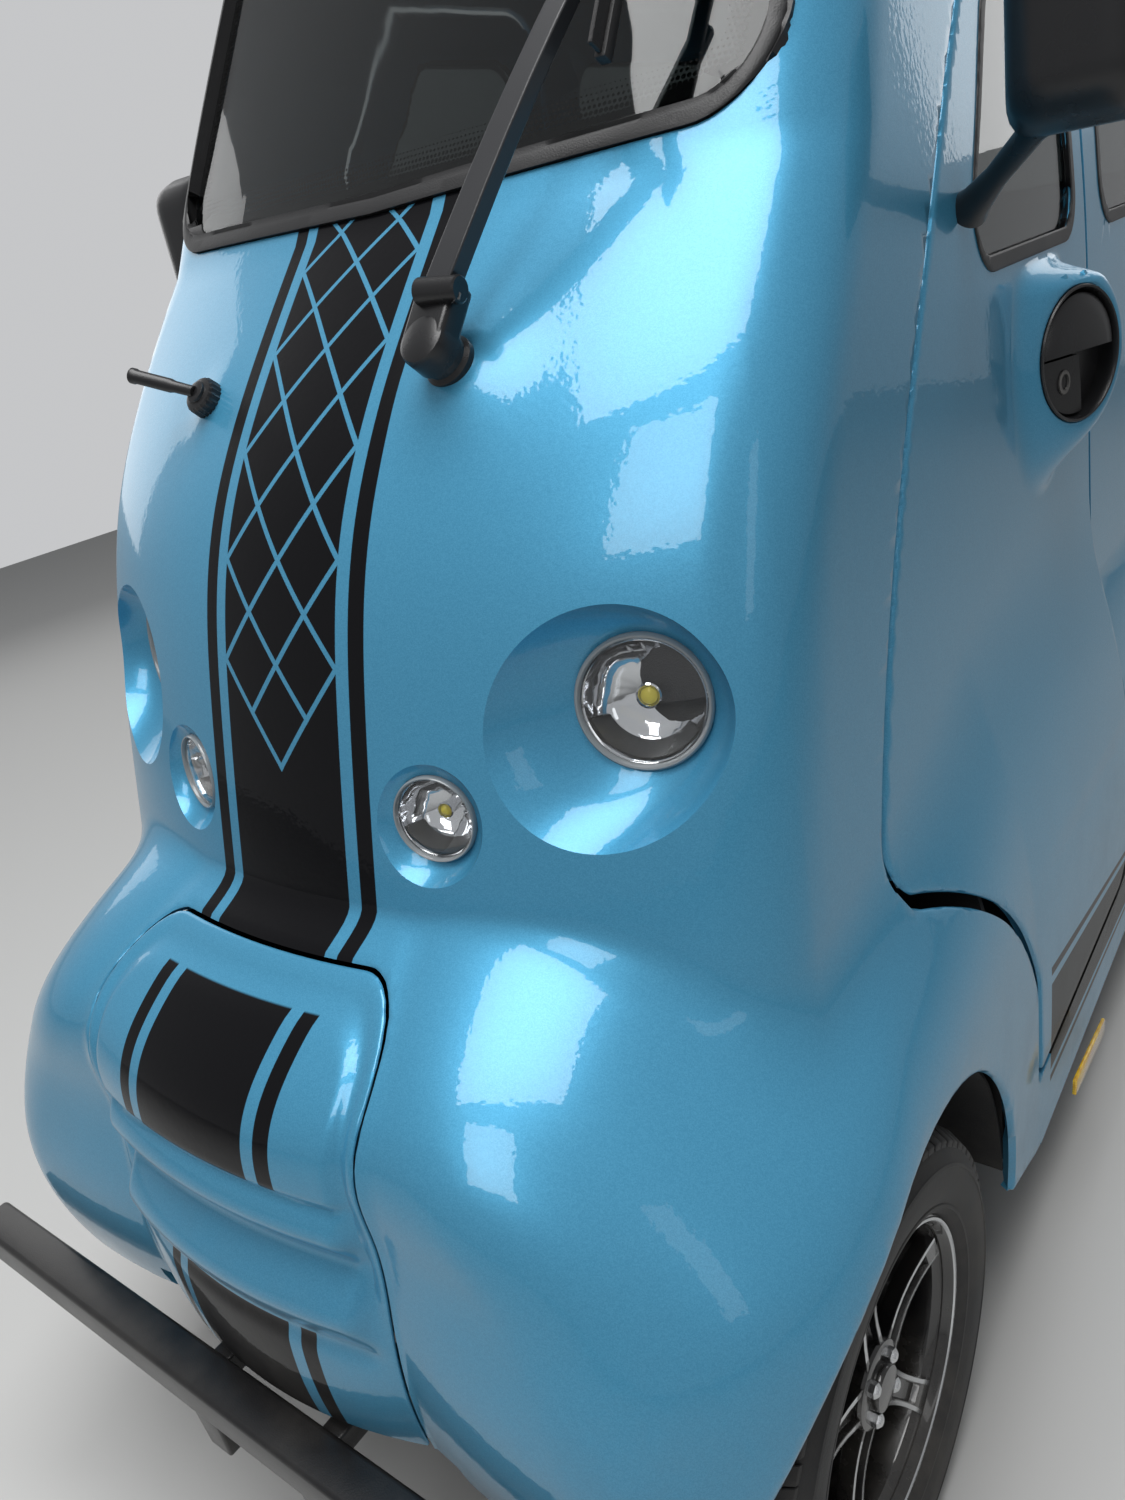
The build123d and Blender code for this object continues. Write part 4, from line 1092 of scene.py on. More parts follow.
def makeLamps(kind):
    lamp = lampSets[kind]
    r = lamp["radius"]
    place = atNose(*lamp["place"])
    facing = between(place, place + Vector(lamp["facing"]))

    def placed(piece, name, material, replaces=(), angle=35):
        bothSides(put(piece, facing), kind + name, material, replaces, angle)

    bezel = turned(kind + "Bezel", [
        (0.998, -0.012), (0.998, 0.0025), (0.985, 0.0044), (0.960, 0.0054), (0.935, 0.0050), (0.915, 0.0036),
        (0.905, 0.0010), (0.905, -0.0040), (0.890, -0.0060), (0.890, -0.012), (0.998, -0.012)], 72, True, r)
    placed(bezel, "Bezels", bezelPlastic, (lamp["node"],))
    bowl = turned(kind + "Reflector", [
        (0.900, 0.000), (0.868, -0.0010), (0.850, -0.0070), (0.775, -0.0150), (0.645, -0.0220), (0.475, -0.0270),
        (0.280, -0.0295), (0.150, -0.0300), (0.140, -0.0330), (0.530, -0.0330), (0.900, -0.0250), (0.900, 0.000)],
        4 * lamp["flutes"], True, r)
    centre = turned(kind + "Centre", [
        (0.150, -0.0325), (0.150, -0.0190), (0.185, -0.0178), (0.190, -0.0160), (0.165, -0.0150), (0.140, -0.0162),
        (0.120, -0.0180)], 32, scale=r)
    placed(joined(kind + "Bowl", [fluted(bowl, lamp["flutes"]), centre]), "Reflectors", lampChrome, (), 25)
    led = turned(kind + "Led", [(r * 0.125, -0.0185), (r * 0.125, -0.0165), (r * 0.100, -0.0150), (r * 0.060, -0.0142),
                                (0.0004, -0.0140)], 24)
    placed(led, "Leds", ledYellow)
    shade = turned(kind + "Shade", [
        (0.70, -0.0200), (0.80, -0.0110), (0.84, -0.0050), (0.83, -0.0035), (0.78, -0.0090), (0.66, -0.0190),
        (0.70, -0.0200)], 48, True, r)
    cutPiece(shade, (0, -r * 0.34, 0), (0.10, 1, 0))
    placed(shade, "Shades", lampDark)
    lens = turned(kind + "Lens", [
        (0.0006, 0.0056), (r * 0.320, 0.0053), (r * 0.640, 0.0042), (r * 0.850, 0.0024), (r * 0.902, 0.0014),
        (r * 0.902, 0.0000), (r * 0.830, 0.0008), (r * 0.640, 0.0023), (r * 0.320, 0.0034), (0.0006, 0.0037)], 64)
    placed(lens, "Lenses", clearGlass)


for kind in lampSets:
    makeLamps(kind)

tailLamp = {"place": (0.252, 2.196, 0.770), "radius": 0.0457, "long": 0.044}


def makeTailLamps():
    r, long = tailLamp["radius"], tailLamp["long"]
    place = atNose(*tailLamp["place"])
    facing = between(place, place + Vector((0, 1, 0)))
    rings = [(r * 0.96, 0.004), (r * 0.96, long - 0.010)]
    for index in range(7):
        at = r * (0.90 - index * 0.125)
        lift = long - 0.004 - 0.0022 * (index % 2) - 0.0006 * index
        rings += [(at, lift), (max(at - r * 0.10, 0.0008), lift)]
    bothSides(put(turned("tailLens", rings, 56), facing), "tailLenses", tailLens, ("tail_lamps",), 25)
    bezel = turned("tailBezel", [(1.0, 0.0), (1.0, long - 0.010), (0.985, long - 0.005), (0.95, long - 0.006),
                                 (0.95, 0.0), (1.0, 0.0)], 56, True, r)
    bothSides(put(bezel, facing), "tailBezels", chrome)


makeTailLamps()
print("lamps made")

# rubber round the glass, and the dotted black border of the windscreen
edging = {"screenProud": 0.0035, "sideProud": 0.0016, "fritIn": 0.050, "screenDepth": 0.0112}


def skinStrip(name, angles, heights, keep, drop, shift, thick, roll=0.0):
    # a strip of the skin, moved out by shift, kept where keep is above 0 and cut by drop
    mesh, work = openSheet(name, angles, heights)
    cuts = (opposite(keep), drop)
    for cut in cuts:
        trim(work, cut)
    work.normal_update()
    for vert in work.verts:
        vert.co += vert.normal * shift
    if roll:
        for cut in cuts:
            rollEdge(work, cut, roll)
    return closeSheet(mesh, work, thick)


def makeFrit():
    # solid black at the rim, then rows of dots that shrink inwards
    material, shader, where = newMaterial("fritBlack", (0.004, 0.004, 0.005), Roughness=0.35)
    x, y, z = parted(where)
    x = x.absolute()
    low = z - (x * 0.0284 + 1.229)
    side = 0.352 - (z - 1.239) * 0.1059 - x
    corner = soft(x * 3.1 + low * -3.1, 0.55, 1.15) * 0.024
    inside = side.least(low.least(1.560 - z)) - corner
    pitch = 0.0042
    row = z / pitch
    column = x / pitch + row.calc("FLOOR").calc("MODULO", 2.0) * 0.5
    across, upward = (place.calc("FRACT") - 0.5 for place in (column, row))
    away = (across * across + upward * upward).calc("SQRT")
    size = fieldOf(where.tree, "ShaderNodeMapRange", {"Value": inside, "From Min": 0.022, "From Max": 0.046,
                                                      "To Min": 0.50, "To Max": 0.10})
    dots = 1 - over(away - size, 0, 0.06)
    feed(shader, Alpha=(1 - soft(inside, 0.0225, 0.0230)).most(dots))
    return material


def makeScreenEdges():
    angles = bothWays((0, 60, 0.5))
    heights = steps((1.222, 1.570, 0.006))
    seal = skinStrip("screenSeal", angles, heights, frontDistance(screenOutline(0.0004)),
                     frontDistance(screenOutline(0.015)), edging["screenProud"], 0.016, 0.0035)
    finish(seal, sealRubber, "root", ("windscreen_seal",))
    frit = skinStrip("screenFrit", angles, heights, frontDistance(screenOutline(0.0155)),
                     frontDistance(screenOutline(edging["fritIn"])), -edging["screenDepth"], 0.0004)
    finish(frit, makeFrit(), "root")


def sealStrip(name, angles, heights, distance, outline, grow, body):
    keep, drop = distance(outline(-grow)), distance(outline(0.004))
    strip = skinStrip(name, angles, heights, keep, drop, edging["sideProud"], 0.012, 0.0015)
    finish(strip, sealRubber, body)


def behindDistance(outline):
    return lambda x, y, z: np.where(backOf(y) > 1.6, outlineDistance(x, z, outline), -1.0)


def makeWindowEdges():
    for sign, side in sides:
        sealStrip("windowSeal" + side, sideAngles(sign, (54, 112, 0.5)), steps((1.080, 1.440, 0.006)),
                  sideDistance, windowOutline, 0.011, "door_" + side.lower())
        sealStrip("quarterSeal" + side, sideAngles(sign, (118, 162, 0.6)), steps((1.080, 1.440, 0.007)),
                  sideDistance, quarterOutline, 0.011, "root")
    sealStrip("rearWindowSeal", sideAngles(1, (146, 214, 0.6)), steps((1.105, 1.505, 0.007)),
              behindDistance, rearOutline, 0.012, "root")


makeScreenEdges()
makeWindowEdges()
print("glass edges made")

wiperSizes = {
    "pivot": (0.147, 0.343, 1.118), "knuckle": (0.156, 0.340, 1.165), "screw": (0.171, 0.337, 1.160),
    "armFrom": (0.156, 0.344, 1.168), "armTo": (0.262, 0.487, 1.393), "armWide": 0.0215, "armDeep": 0.014,
    "bladeFrom": (0.256, 0.431, 1.286), "bladeTo": (0.266, 0.556, 1.496), "normal": (0.0, -0.76, 0.65),
}
wiperGrey = makePlastic("wiperGrey", (0.030, 0.031, 0.034), 0.34, 1300.0, 0.10, Coat_Weight=0.25)


def makeWiper():
    w = wiperSizes
    normal = Vector(w["normal"]).normalized()
    pivot, knuckle, screwAt, armStart, armStop, bladeStart, bladeStop = (
        atNose(*w[key]) for key in ("pivot", "knuckle", "screw", "armFrom", "armTo", "bladeFrom", "bladeTo"))
    base = turned("wiperBase", [(0.0190, -0.052), (0.0190, -0.010), (0.0205, -0.008), (0.0205, 0.000), (0.0175, 0.003),
                                (0.0172, 0.012), (0.0160, 0.014)], 40)
    put(base, between(pivot, pivot + normal))
    # tongue shaped cap over the base, rounded at its free end
    cap = turned("wiperCap", [(0.0203, 0.000), (0.0203, 0.016), (0.0190, 0.020), (0.0150, 0.022), (0.0020, 0.0225)], 40)
    tongue = block("wiperTongue", (0.0390, 0.046, 0.0215), 0.004, 3, (0, 0.022, 0.0108))
    head = put(joined("wiperHead", [cap, tongue]), between(pivot + normal * 0.010, pivot + normal * 0.012))
    barrel = turned("wiperBarrel", [(0.0085, -0.0190), (0.0098, -0.0178), (0.0098, 0.0178), (0.0085, 0.0190)], 28)
    put(barrel, between(knuckle, knuckle + Vector((1, 0.05, -0.08))))
    screw = turned("wiperScrew", [(0.0046, -0.002), (0.0046, 0.0026), (0.0038, 0.0034), (0.0026, 0.0034),
                                  (0.0024, 0.0012)], 6)
    put(screw, between(screwAt, screwAt + Vector((0.9, -0.35, 0.25))))
    finish(joined("wiperPivot", [base, head, barrel]), trimBlack, "root", ("wiper",))
    finish(screw, castSteel, "root", (), 20)
    # arm: wider at its foot and bowed
    length = (armStop - armStart).length
    arm = block("wiperArm", (w["armWide"], w["armDeep"], length), place=(0, 0, length / 2))
    editAll(arm, bpy.ops.mesh.subdivide, number_cuts=7)
    for vert in arm.data.vertices:
        share = vert.co.z / length
        vert.co.x *= 1.12 - 0.30 * share
        vert.co.y = vert.co.y * (1.05 - 0.30 * share) - 0.006 * math.sin(share * math.pi)
    put(rounded(arm, 0.0022, 3, 50), between(armStart, armStop))
    finish(arm, wiperGrey, "root", (), 40)
    run = (bladeStop - bladeStart).length
    spine = block("bladeSpine", (0.010, 0.010, run), 0.002, 2, (0, 0.004, run / 2))
    lip = block("bladeLip", (0.0035, 0.014, run * 0.98), 0.0006, 1, (0, -0.006, run / 2))
    bridge = block("bladeBridge", (0.014, 0.012, 0.060), 0.003, 2, (0, 0.010, run * 0.50))
    blade = put(joined("wiperBlade", [spine, lip, bridge]), between(bladeStart, bladeStop))
    finish(blade, sealRubber, "root")


makeWiper()

washer = {"foot": (-0.150, 0.356, 1.103), "normal": (0.0, -0.76, 0.65), "ribs": 20, "radius": 0.0165,
          "barFrom": (-0.150, 0.334, 1.121), "barTo": (-0.214, 0.320, 1.143)}


def makeWasher():
    foot = atNose(*washer["foot"])
    knob = turned("washerKnob", [
        (1.02, -0.008), (1.02, 0.006), (0.80, 0.007), (0.80, 0.009), (0.98, 0.010), (1.0, 0.012), (0.98, 0.022),
        (0.90, 0.0245), (0.62, 0.0255), (0.60, 0.028), (0.45, 0.029)], 4 * washer["ribs"], scale=washer["radius"])
    for vert in knob.data.vertices:
        if 0.0095 < vert.co.z < 0.023:
            wave = 1 + 0.045 * math.cos(washer["ribs"] * math.atan2(vert.co.y, vert.co.x))
            vert.co.x, vert.co.y = vert.co.x * wave, vert.co.y * wave
    put(knob, between(foot, foot + Vector(washer["normal"]).normalized()))
    start, stop = atNose(*washer["barFrom"]), atNose(*washer["barTo"])
    long = (stop - start).length
    bar = turned("washerBar", [(0.0050, 0.0), (0.0052, long * 0.30), (0.0062, long * 0.36), (0.0062, long * 0.90),
                               (0.0070, long * 0.93), (0.0070, long * 0.985), (0.0055, long)], 24)
    put(bar, between(start, stop))
    finish(joined("washerCap", [knob, bar]), trimBlack, "root", ("washer_cap",), 30)


makeWasher()


def makeHandle(side):
    # an oval plate let into the raised ground, with a paddle, a finger recess and a key lock
    place = atNose(handle["face"], handle["back"], handle["height"])
    facing = between(place, place + Vector((1, -handle["slope"], 0)), (0, 1, 0))   # X to the rear, Y upwards
    wide, high = handle["half"][0] * math.hypot(1, handle["slope"]), handle["half"][1]
    rim = turned("handleRim", [(1.0, -0.020), (1.0, 0.0006), (0.985, 0.0020), (0.955, 0.0016), (0.938, -0.0010),
                               (0.928, -0.0050), (0.918, -0.020), (1.0, -0.020)], 72, True)
    ground = turned("handleFloor", [(0.93, -0.0215), (0.93, -0.0185), (0.5, -0.0190), (0.001, -0.0192)], 72)
    paddle = turned("handlePaddle", [(0.905, -0.020), (0.905, -0.0060), (0.880, -0.0020), (0.800, 0.0014),
                                     (0.600, 0.0040), (0.300, 0.0056), (0.001, 0.0062)], 72)
    lock = turned("handleLockPlate", [(0.905, -0.020), (0.905, -0.0085), (0.880, -0.0062), (0.500, -0.0050),
                                      (0.001, -0.0050)], 72)
    plates = (rim, ground, paddle, lock)
    for piece in plates:
        for vert in piece.data.vertices:
            vert.co.x, vert.co.y = vert.co.x * wide, vert.co.y * high
    cutPiece(paddle, (0, 0.003, 0), (0, -1, 0.25))
    cutPiece(lock, (0, -0.0005, 0), (0, 1, 0))
    cutPiece(lock, (0.004, 0, 0), (1, 0.12, 0))
    key = turned("handleKey", [(0.0085, -0.0080), (0.0085, -0.0036), (0.0076, -0.0028), (0.0058, -0.0030),
                               (0.0054, -0.0056), (0.0004, -0.0056)], 32)
    for vert in key.data.vertices:
        vert.co.x, vert.co.y = vert.co.x - 0.0190, vert.co.y * 1.4 - 0.0235
    slot = block("handleSlot", (0.0018, 0.0095, 0.003), 0.0004, 1, (-0.0190, -0.0235, -0.0062))
    made = [joined("doorHandle" + side, [put(piece, facing) for piece in plates]), put(key, facing), put(slot, facing)]
    if side == "Right":
        made = [turnedOver(piece) for piece in made]
    node = side.lower()
    for piece, name, material, replaces in zip(
            made, ("doorHandle", "doorLock", "doorKeySlot"), (trimBlack, castSteel, floorBlack),
            (("door_handle_" + node,), (), ())):
        piece.name = name + side
        finish(piece, material, "door_" + node, replaces, 30)


# mirror: a deep rounded shell on a stay, with its glass at the rear
mirrorSizes = {"place": (0.500, 0.683, 1.262), "wide": 0.120, "high": 0.160, "deep": 0.056,
               "stayFrom": (0.470, 0.672, 1.200), "stayTo": (0.392, 0.739, 1.146), "stayRadius": 0.0105}
mirrorGlass = makePlastic("mirrorGlass", (0.75, 0.78, 0.80), 0.02, 40.0, 0.01, Metallic=1.0)


def makeMirror(side):
    m = mirrorSizes
    rear = atNose(*m["place"])
    shell = block("mirrorShell", (m["wide"], m["deep"], m["high"]))
    for vert in shell.data.vertices:
        if vert.co.y < 0:
            vert.co.x *= 0.70
            vert.co.z *= 0.74
    beveled(shell, 0.026, 6, 0.6)
    sunk(shell, lambda face: face.normal.y > 0.99 and face.area > 0.002, 0.004, (0, -0.006, 0))
    put(shell, Matrix.Translation(rear - Vector((0, m["deep"] / 2 + 0.001, 0))))
    start, stop = atNose(*m["stayFrom"]), atNose(*m["stayTo"])
    long = (stop - start).length
    stay = turned("mirrorStay", [(1.25, 0), (1.0, 0.012), (0.92, long * 0.6), (1.3, long * 0.90),
                                 (1.6, long - 0.001)], 28, scale=m["stayRadius"])
    put(stay, between(start, stop))
    glass = beveled(block("mirrorFace", (m["wide"] - 0.060, 0.002, m["high"] - 0.062)), 0.0006, 1)
    put(glass, Matrix.Translation(rear - Vector((0, 0.0055, 0))))
    shell = joined("mirror" + side, [shell, stay])
    if side == "Right":
        shell, glass = turnedOver(shell), turnedOver(glass)
    glass.name = "mirrorGlass" + side
    node = side.lower()
    finish(shell, trimBlack, "door_" + node, ("mirror_" + node,))
    finish(glass, mirrorGlass, "door_" + node)


for make in (makeHandle, makeMirror):
    for sign, side in sides:
        make(side)

reflector = {"from": (0.4650, 0.793, 0.195), "to": (0.4600, 0.947, 0.171), "high": 0.021, "thick": 0.005}


def makeReflector():
    # slanted yellow reflectors on the sills: small prisms under a smooth amber face
    material, shader, where = newMaterial("amberPrism", (0.85, 0.50, 0.01), Roughness=0.16, Coat_Weight=0.8)
    prisms = cells(where, 330.0, randomness=0.0)
    feed(shader, Base_Color=blendColor(soft(prisms, 0.2, 0.7), (0.92, 0.60, 0.02), (0.60, 0.30, 0.005)),
         Normal=bumped(prisms, 0.35, 0.001))
    start, stop = atNose(*reflector["from"]), atNose(*reflector["to"])
    long = (stop - start).length
    strip = beveled(block("reflector", (reflector["thick"], reflector["high"], long), place=(0, 0, long / 2)), 0.0018, 3)
    bothSides(put(strip, between(start, stop)), "sillReflectors", material)


makeReflector()
print("trim made")

# wheels: a cast five spoke rim with machined edges, and a road tyre with tread blocks
machined = makePlastic("machined", (0.62, 0.63, 0.64), 0.24, 900.0, 0.06, Metallic=1.0)
wheelSizes = {
    "spokes": 5, "spokeFrom": 0.030, "spokeTo": 0.1365, "spokeFace": 0.0440, "spokeDeep": 0.015,
    "nuts": 4, "nutCircle": 0.0270, "nutRadius": 0.0070,
    "pitches": 40, "treadRadius": 0.2285, "blockDeep": 0.0095,
    "front": (0.380, -0.795), "rear": (0.0, 0.723),
}


def spokeWidth(radius):
    share = (radius - wheelSizes["spokeFrom"]) / (wheelSizes["spokeTo"] - wheelSizes["spokeFrom"])
    return 0.036 - 0.020 * share + 0.016 * share ** 3


def makeSpokes():
    w = wheelSizes
    start, stop, deep = w["spokeFrom"], w["spokeTo"], w["spokeDeep"]
    long = stop - start
    spoke = block("spoke", (1.0, long, deep), place=(0, (stop + start) / 2, w["spokeFace"] - deep / 2))
    editAll(spoke, bpy.ops.mesh.subdivide, number_cuts=6)
    for vert in spoke.data.vertices:
        share = (vert.co.y - start) / long
        vert.co.x *= spokeWidth(vert.co.y)
        vert.co.z += 0.007 * share ** 2 - 0.004 * math.sin(share * math.pi)

    def inPocket(face):
        middle = face.center
        return face.normal.z > 0.7 and abs(middle.x) < spokeWidth(middle.y) * 0.40 and middle.y < stop - 0.010

    sunk(spoke, inPocket, 0.0012, (0, 0, -0.0065))
    spoke.data.materials.append(rimBlack)
    spoke.data.materials.append(machined)
    for face in spoke.data.polygons:
        middle = face.center
        edge = abs(middle.x) > spokeWidth(middle.y) * 0.385
        face.material_index = 1 if face.normal.z > 0.7 and edge and middle.y > 0.044 else 0
    rounded(spoke, 0.0014, 2, 40)
    turns = [2 * math.pi * index / w["spokes"] for index in range(1, w["spokes"])]
    return joined("spokes", [spoke] + [spun(copied(spoke, "spoke"), turn) for turn in turns])


def makeRim():
    w = wheelSizes
    barrel = turned("rimBarrel", [
        (0.1520, -0.0600), (0.1520, -0.0560), (0.1450, -0.0545), (0.1410, -0.0500), (0.1370, -0.0300), (0.1370, 0.0200),
        (0.1410, 0.0480), (0.1450, 0.0545), (0.1518, 0.0556), (0.1520, 0.0590), (0.1500, 0.0600), (0.1470, 0.0596),
        (0.1440, 0.0560), (0.1415, 0.0480), (0.1350, 0.0420), (0.1325, 0.0300), (0.1310, -0.0400), (0.1350, -0.0560),
        (0.1400, -0.0600), (0.1520, -0.0600)], 96, True)
    middle = turned("rimHub", [
        (0.0380, -0.0440), (0.0380, 0.0380), (0.0400, 0.0410), (0.0385, 0.0440), (0.0350, 0.0450), (0.0250, 0.0452),
        (0.0215, 0.0450), (0.0212, 0.0500), (0.0200, 0.0520), (0.0120, 0.0530), (0.0006, 0.0534)], 64)
    barrel.data.materials.append(rimBlack)
    middle.data.materials.append(rimBlack)
    rim = joined("rim", [barrel, middle, makeSpokes()])
    bright = [turned("rimEdge", [(0.1512, 0.0592), (0.1500, 0.0606), (0.1474, 0.0604), (0.1462, 0.0590),
                                 (0.1475, 0.0584), (0.1512, 0.0592)], 96, True)]
    for index in range(w["nuts"]):
        angle = 2 * math.pi * (index + 0.5) / w["nuts"]
        r = w["nutRadius"]
        nut = turned("nut", [(r, 0.0430), (r, 0.0505), (r * 0.85, 0.0520), (r * 0.55, 0.0540), (0.0006, 0.0548)], 6)
        place = Vector((math.cos(angle), math.sin(angle), 0)) * w["nutCircle"]
        bright.append(put(nut, Matrix.Translation(place)))
    drum = turned("drum", [(0.0800, -0.0440), (0.0800, -0.0160), (0.0760, -0.0120), (0.0390, -0.0120)], 64)
    return rim, joined("rimBright", bright), drum


def treadBlock(name, fromAcross, toAcross, fromTurn, toTurn, slant):
    # one block of the tread, wrapped on the tyre: its turn in pitches, its slant in degrees per metre
    w = wheelSizes
    pitch = 360 / w["pitches"]
    fromTurn, toTurn = fromTurn * pitch, toTurn * pitch
    piece = block(name, (toTurn - fromTurn, 1.0, toAcross - fromAcross),
                  place=((fromTurn + toTurn) / 2, 0, (fromAcross + toAcross) / 2))
    editAll(piece, bpy.ops.mesh.subdivide, number_cuts=1)
    for vert in piece.data.vertices:
        turn, up, across = vert.co
        beyond = max(0.0, abs(across) - 0.0530) / 0.0115
        top = w["treadRadius"] - 0.0012 * (across / 0.055) ** 2 - 0.0085 * beyond ** 2
        radius = top - w["blockDeep"] * (0.5 - up)
        angle = math.radians(turn + slant * across)
        vert.co = (radius * math.cos(angle), radius * math.sin(angle), across)
    return rounded(piece, 0.0007, 1, 50)


def makeTyre():
    half = [
        (0.1415, 0.0500), (0.1500, 0.0538), (0.1535, 0.0600), (0.1560, 0.0640), (0.1600, 0.0665), (0.1610, 0.0680),
        (0.1640, 0.0682), (0.1650, 0.0672), (0.1750, 0.0712), (0.1880, 0.0722), (0.1980, 0.0716), (0.1990, 0.0725),
        (0.2020, 0.0718), (0.2030, 0.0702), (0.2110, 0.0662), (0.2162, 0.0610), (0.2188, 0.0540), (0.2196, 0.0350)]
    profile = [(r, -z) for r, z in half] + half[::-1] + [(half[0][0], -half[0][1])]
    carcass = turned("tyreCarcass", profile, 120, True)
    tread = joined("tread", [treadBlock(*row) for row in (
        ("shoulderA", -0.0640, -0.0350, 0.00, 0.43, 60), ("shoulderB", -0.0640, -0.0350, 0.46, 0.88, 60),
        ("ribA", -0.0305, -0.0040, 0.10, 1.03, 150), ("ribB", 0.0040, 0.0305, 0.35, 1.28, 150),
        ("shoulderC", 0.0350, 0.0640, 0.20, 0.63, -60), ("shoulderD", 0.0350, 0.0640, 0.66, 1.08, -60),
    )])
    count = wheelSizes["pitches"]
    editAll(tread, bpy.ops.mesh.spin, steps=count - 1, dupli=True, angle=2 * math.pi * (count - 1) / count,
            center=(0, 0, 0), axis=(0, 0, 1))
    editAll(tread, bpy.ops.mesh.normals_make_consistent, inside=False)
    return joined("tyre", [carcass, tread])


def makeWheels():
    rim, bright, drum = makeRim()
    tyre = makeTyre()
    for name, node, spot, sign in (("FrontLeft", "front_left", "front", 1), ("FrontRight", "front_right", "front", -1),
                                   ("Rear", "rear", "rear", 1)):
        x, y = wheelSizes[spot]
        centre = Vector((sign * x, y, wheelSizes["treadRadius"]))
        facing = between(centre, centre + Vector((sign, 0, 0)), (0, sign, 0))
        for piece, kind, material, slotName, replaces, angle in (
                (tyre, "tyre", tyreRubber, "tyre", ("tyre_" + node,), 32),
                (rim, "rim", None, "rim_black", ("rim_" + node,), 30),
                (bright, "rimBright", machined, "rim_black", (), 30),
                (drum, "drum", castSteel, "cast_steel", (), 30)):
            finish(put(copied(piece, kind + name), facing), material, "wheel_" + node, replaces, angle)
    for piece in (rim, bright, drum, tyre):
        bpy.data.objects.remove(piece)


makeWheels()
print("wheels made")

# steering wheel on its column
steering = {"centre": (0.0, -0.460, 0.960), "foot": (0.0, -0.640, 0.860), "radius": 0.165, "thick": 0.0125}


def makeSteering():
    s = steering
    facing = between(s["centre"], Vector(s["centre"]) * 2 - Vector(s["foot"]))
    grip = [(s["radius"] + s["thick"] * math.cos(a) * 0.92, s["thick"] * math.sin(a))
            for a in np.linspace(0, 2 * math.pi, 17)]
    pieces = [turned("steeringRing", grip, 96, True)]
    pieces.append(turned("steeringCentre", [
        (0.0290, -0.0250), (0.0300, -0.0060), (0.0480, -0.0020), (0.0500, 0.0020), (0.0460, 0.0045), (0.0200, 0.0050),
        (0.0006, 0.0050)], 48))
    for index in range(3):
        spoke = block("steeringSpoke", (0.112, 0.026, 0.008), place=(0.105, 0, -0.004))
        for vert in spoke.data.vertices:
            vert.co.y *= 1.25 if vert.co.x < 0.1 else 0.85
        pieces.append(spun(rounded(spoke, 0.003, 3), math.radians(90 + 120 * index)))
    wheel = put(joined("steeringWheel", pieces), facing)
    finish(wheel, dashPlastic, "steering_wheel", ("steering_wheel",))


makeSteering()

# padded seat
seat = {"voxel": 0.0065, "pressure": 4.0, "frames": 20, "cap": 0.018,
        "base": ((0.0, 0.085, 0.4885), (0.440, 0.480, 0.092)), "backWide": 0.420,
        "backFoot": (0.228, 0.302, 0.556), "backTop": (0.348, 0.412, 1.046),
        "channel": (0.009, 0.007), "baseChannels": (-0.06, 0.04, 0.14, 0.24), "backChannels": (0.66, 0.76, 0.86, 0.96)}


def channelDepth(at, facing, places):
    deep, wide = seat["channel"]
    return deep * max(0, facing) * sum(math.exp(-((at - place) / wide) ** 2) for place in places)


def fillPad(piece, channels):
    # swells the pad like a filled cover, then presses its sewn channels in
    applied(piece, "REMESH", mode="VOXEL", voxel_size=seat["voxel"])
    before = np.empty(len(piece.data.vertices) * 3)
    piece.data.vertices.foreach_get("co", before)
    cover = piece.modifiers.new("cover", "CLOTH")
    cover.settings.use_pressure = True
    cover.settings.uniform_pressure_force = seat["pressure"]
    cover.settings.effector_weights.gravity = 0
    cover.point_cache.frame_start, cover.point_cache.frame_end = 1, seat["frames"]
    for number in range(1, seat["frames"] + 1):
        bpy.context.scene.frame_set(number)
    pick(piece)
    bpy.ops.object.modifier_apply(modifier="cover")
    bpy.context.scene.frame_set(1)
    after = np.empty_like(before)
    piece.data.vertices.foreach_get("co", after)
    moved = (after - before).reshape(-1, 3)
    far = np.linalg.norm(moved, axis=1, keepdims=True)
    moved *= np.minimum(1.0, seat["cap"] / np.maximum(far, 1e-9))
    piece.data.vertices.foreach_set("co", (before.reshape(-1, 3) + moved).ravel())
    for vert in piece.data.vertices:
        vert.co -= vert.normal * channels(vert.co, vert.normal)
    applied(piece, "SUBSURF", levels=1, render_levels=1)


def makeSeat():
    place, size = seat["base"]
    base = put(block("seatBase", size, 0.022, 4), Matrix.Translation(place))
    fillPad(base, lambda co, normal: channelDepth(co.y, normal.z, seat["baseChannels"]))
    finish(base, leather, "root", ("seat_base",), 60)
    fromY, toY, low = seat["backFoot"]
    fromTop, toTop, high = seat["backTop"]
    back = block("seatBack", (seat["backWide"], 1.0, 1.0))
    for vert in back.data.vertices:
        share = vert.co.z + 0.5
        near, far = fromY + (fromTop - fromY) * share, toY + (toTop - toY) * share
        vert.co.y = near if vert.co.y < 0 else far
        vert.co.z = low + (high - low) * share
    fillPad(beveled(back, 0.018, 4), lambda co, normal: channelDepth(co.z, -normal.y, seat["backChannels"]))
    finish(back, leather, "root", ("seat_back",), 60)


makeSeat()

# bumper: a square tube with plugged ends, on two arms, and a gusseted leg under each
bumper = {"half": 0.470, "y": -1.129, "z": 0.302, "size": 0.040, "armX": 0.076, "armSize": 0.024, "armTo": -1.010,
          "leg": (0.040, 0.030, 0.064)}


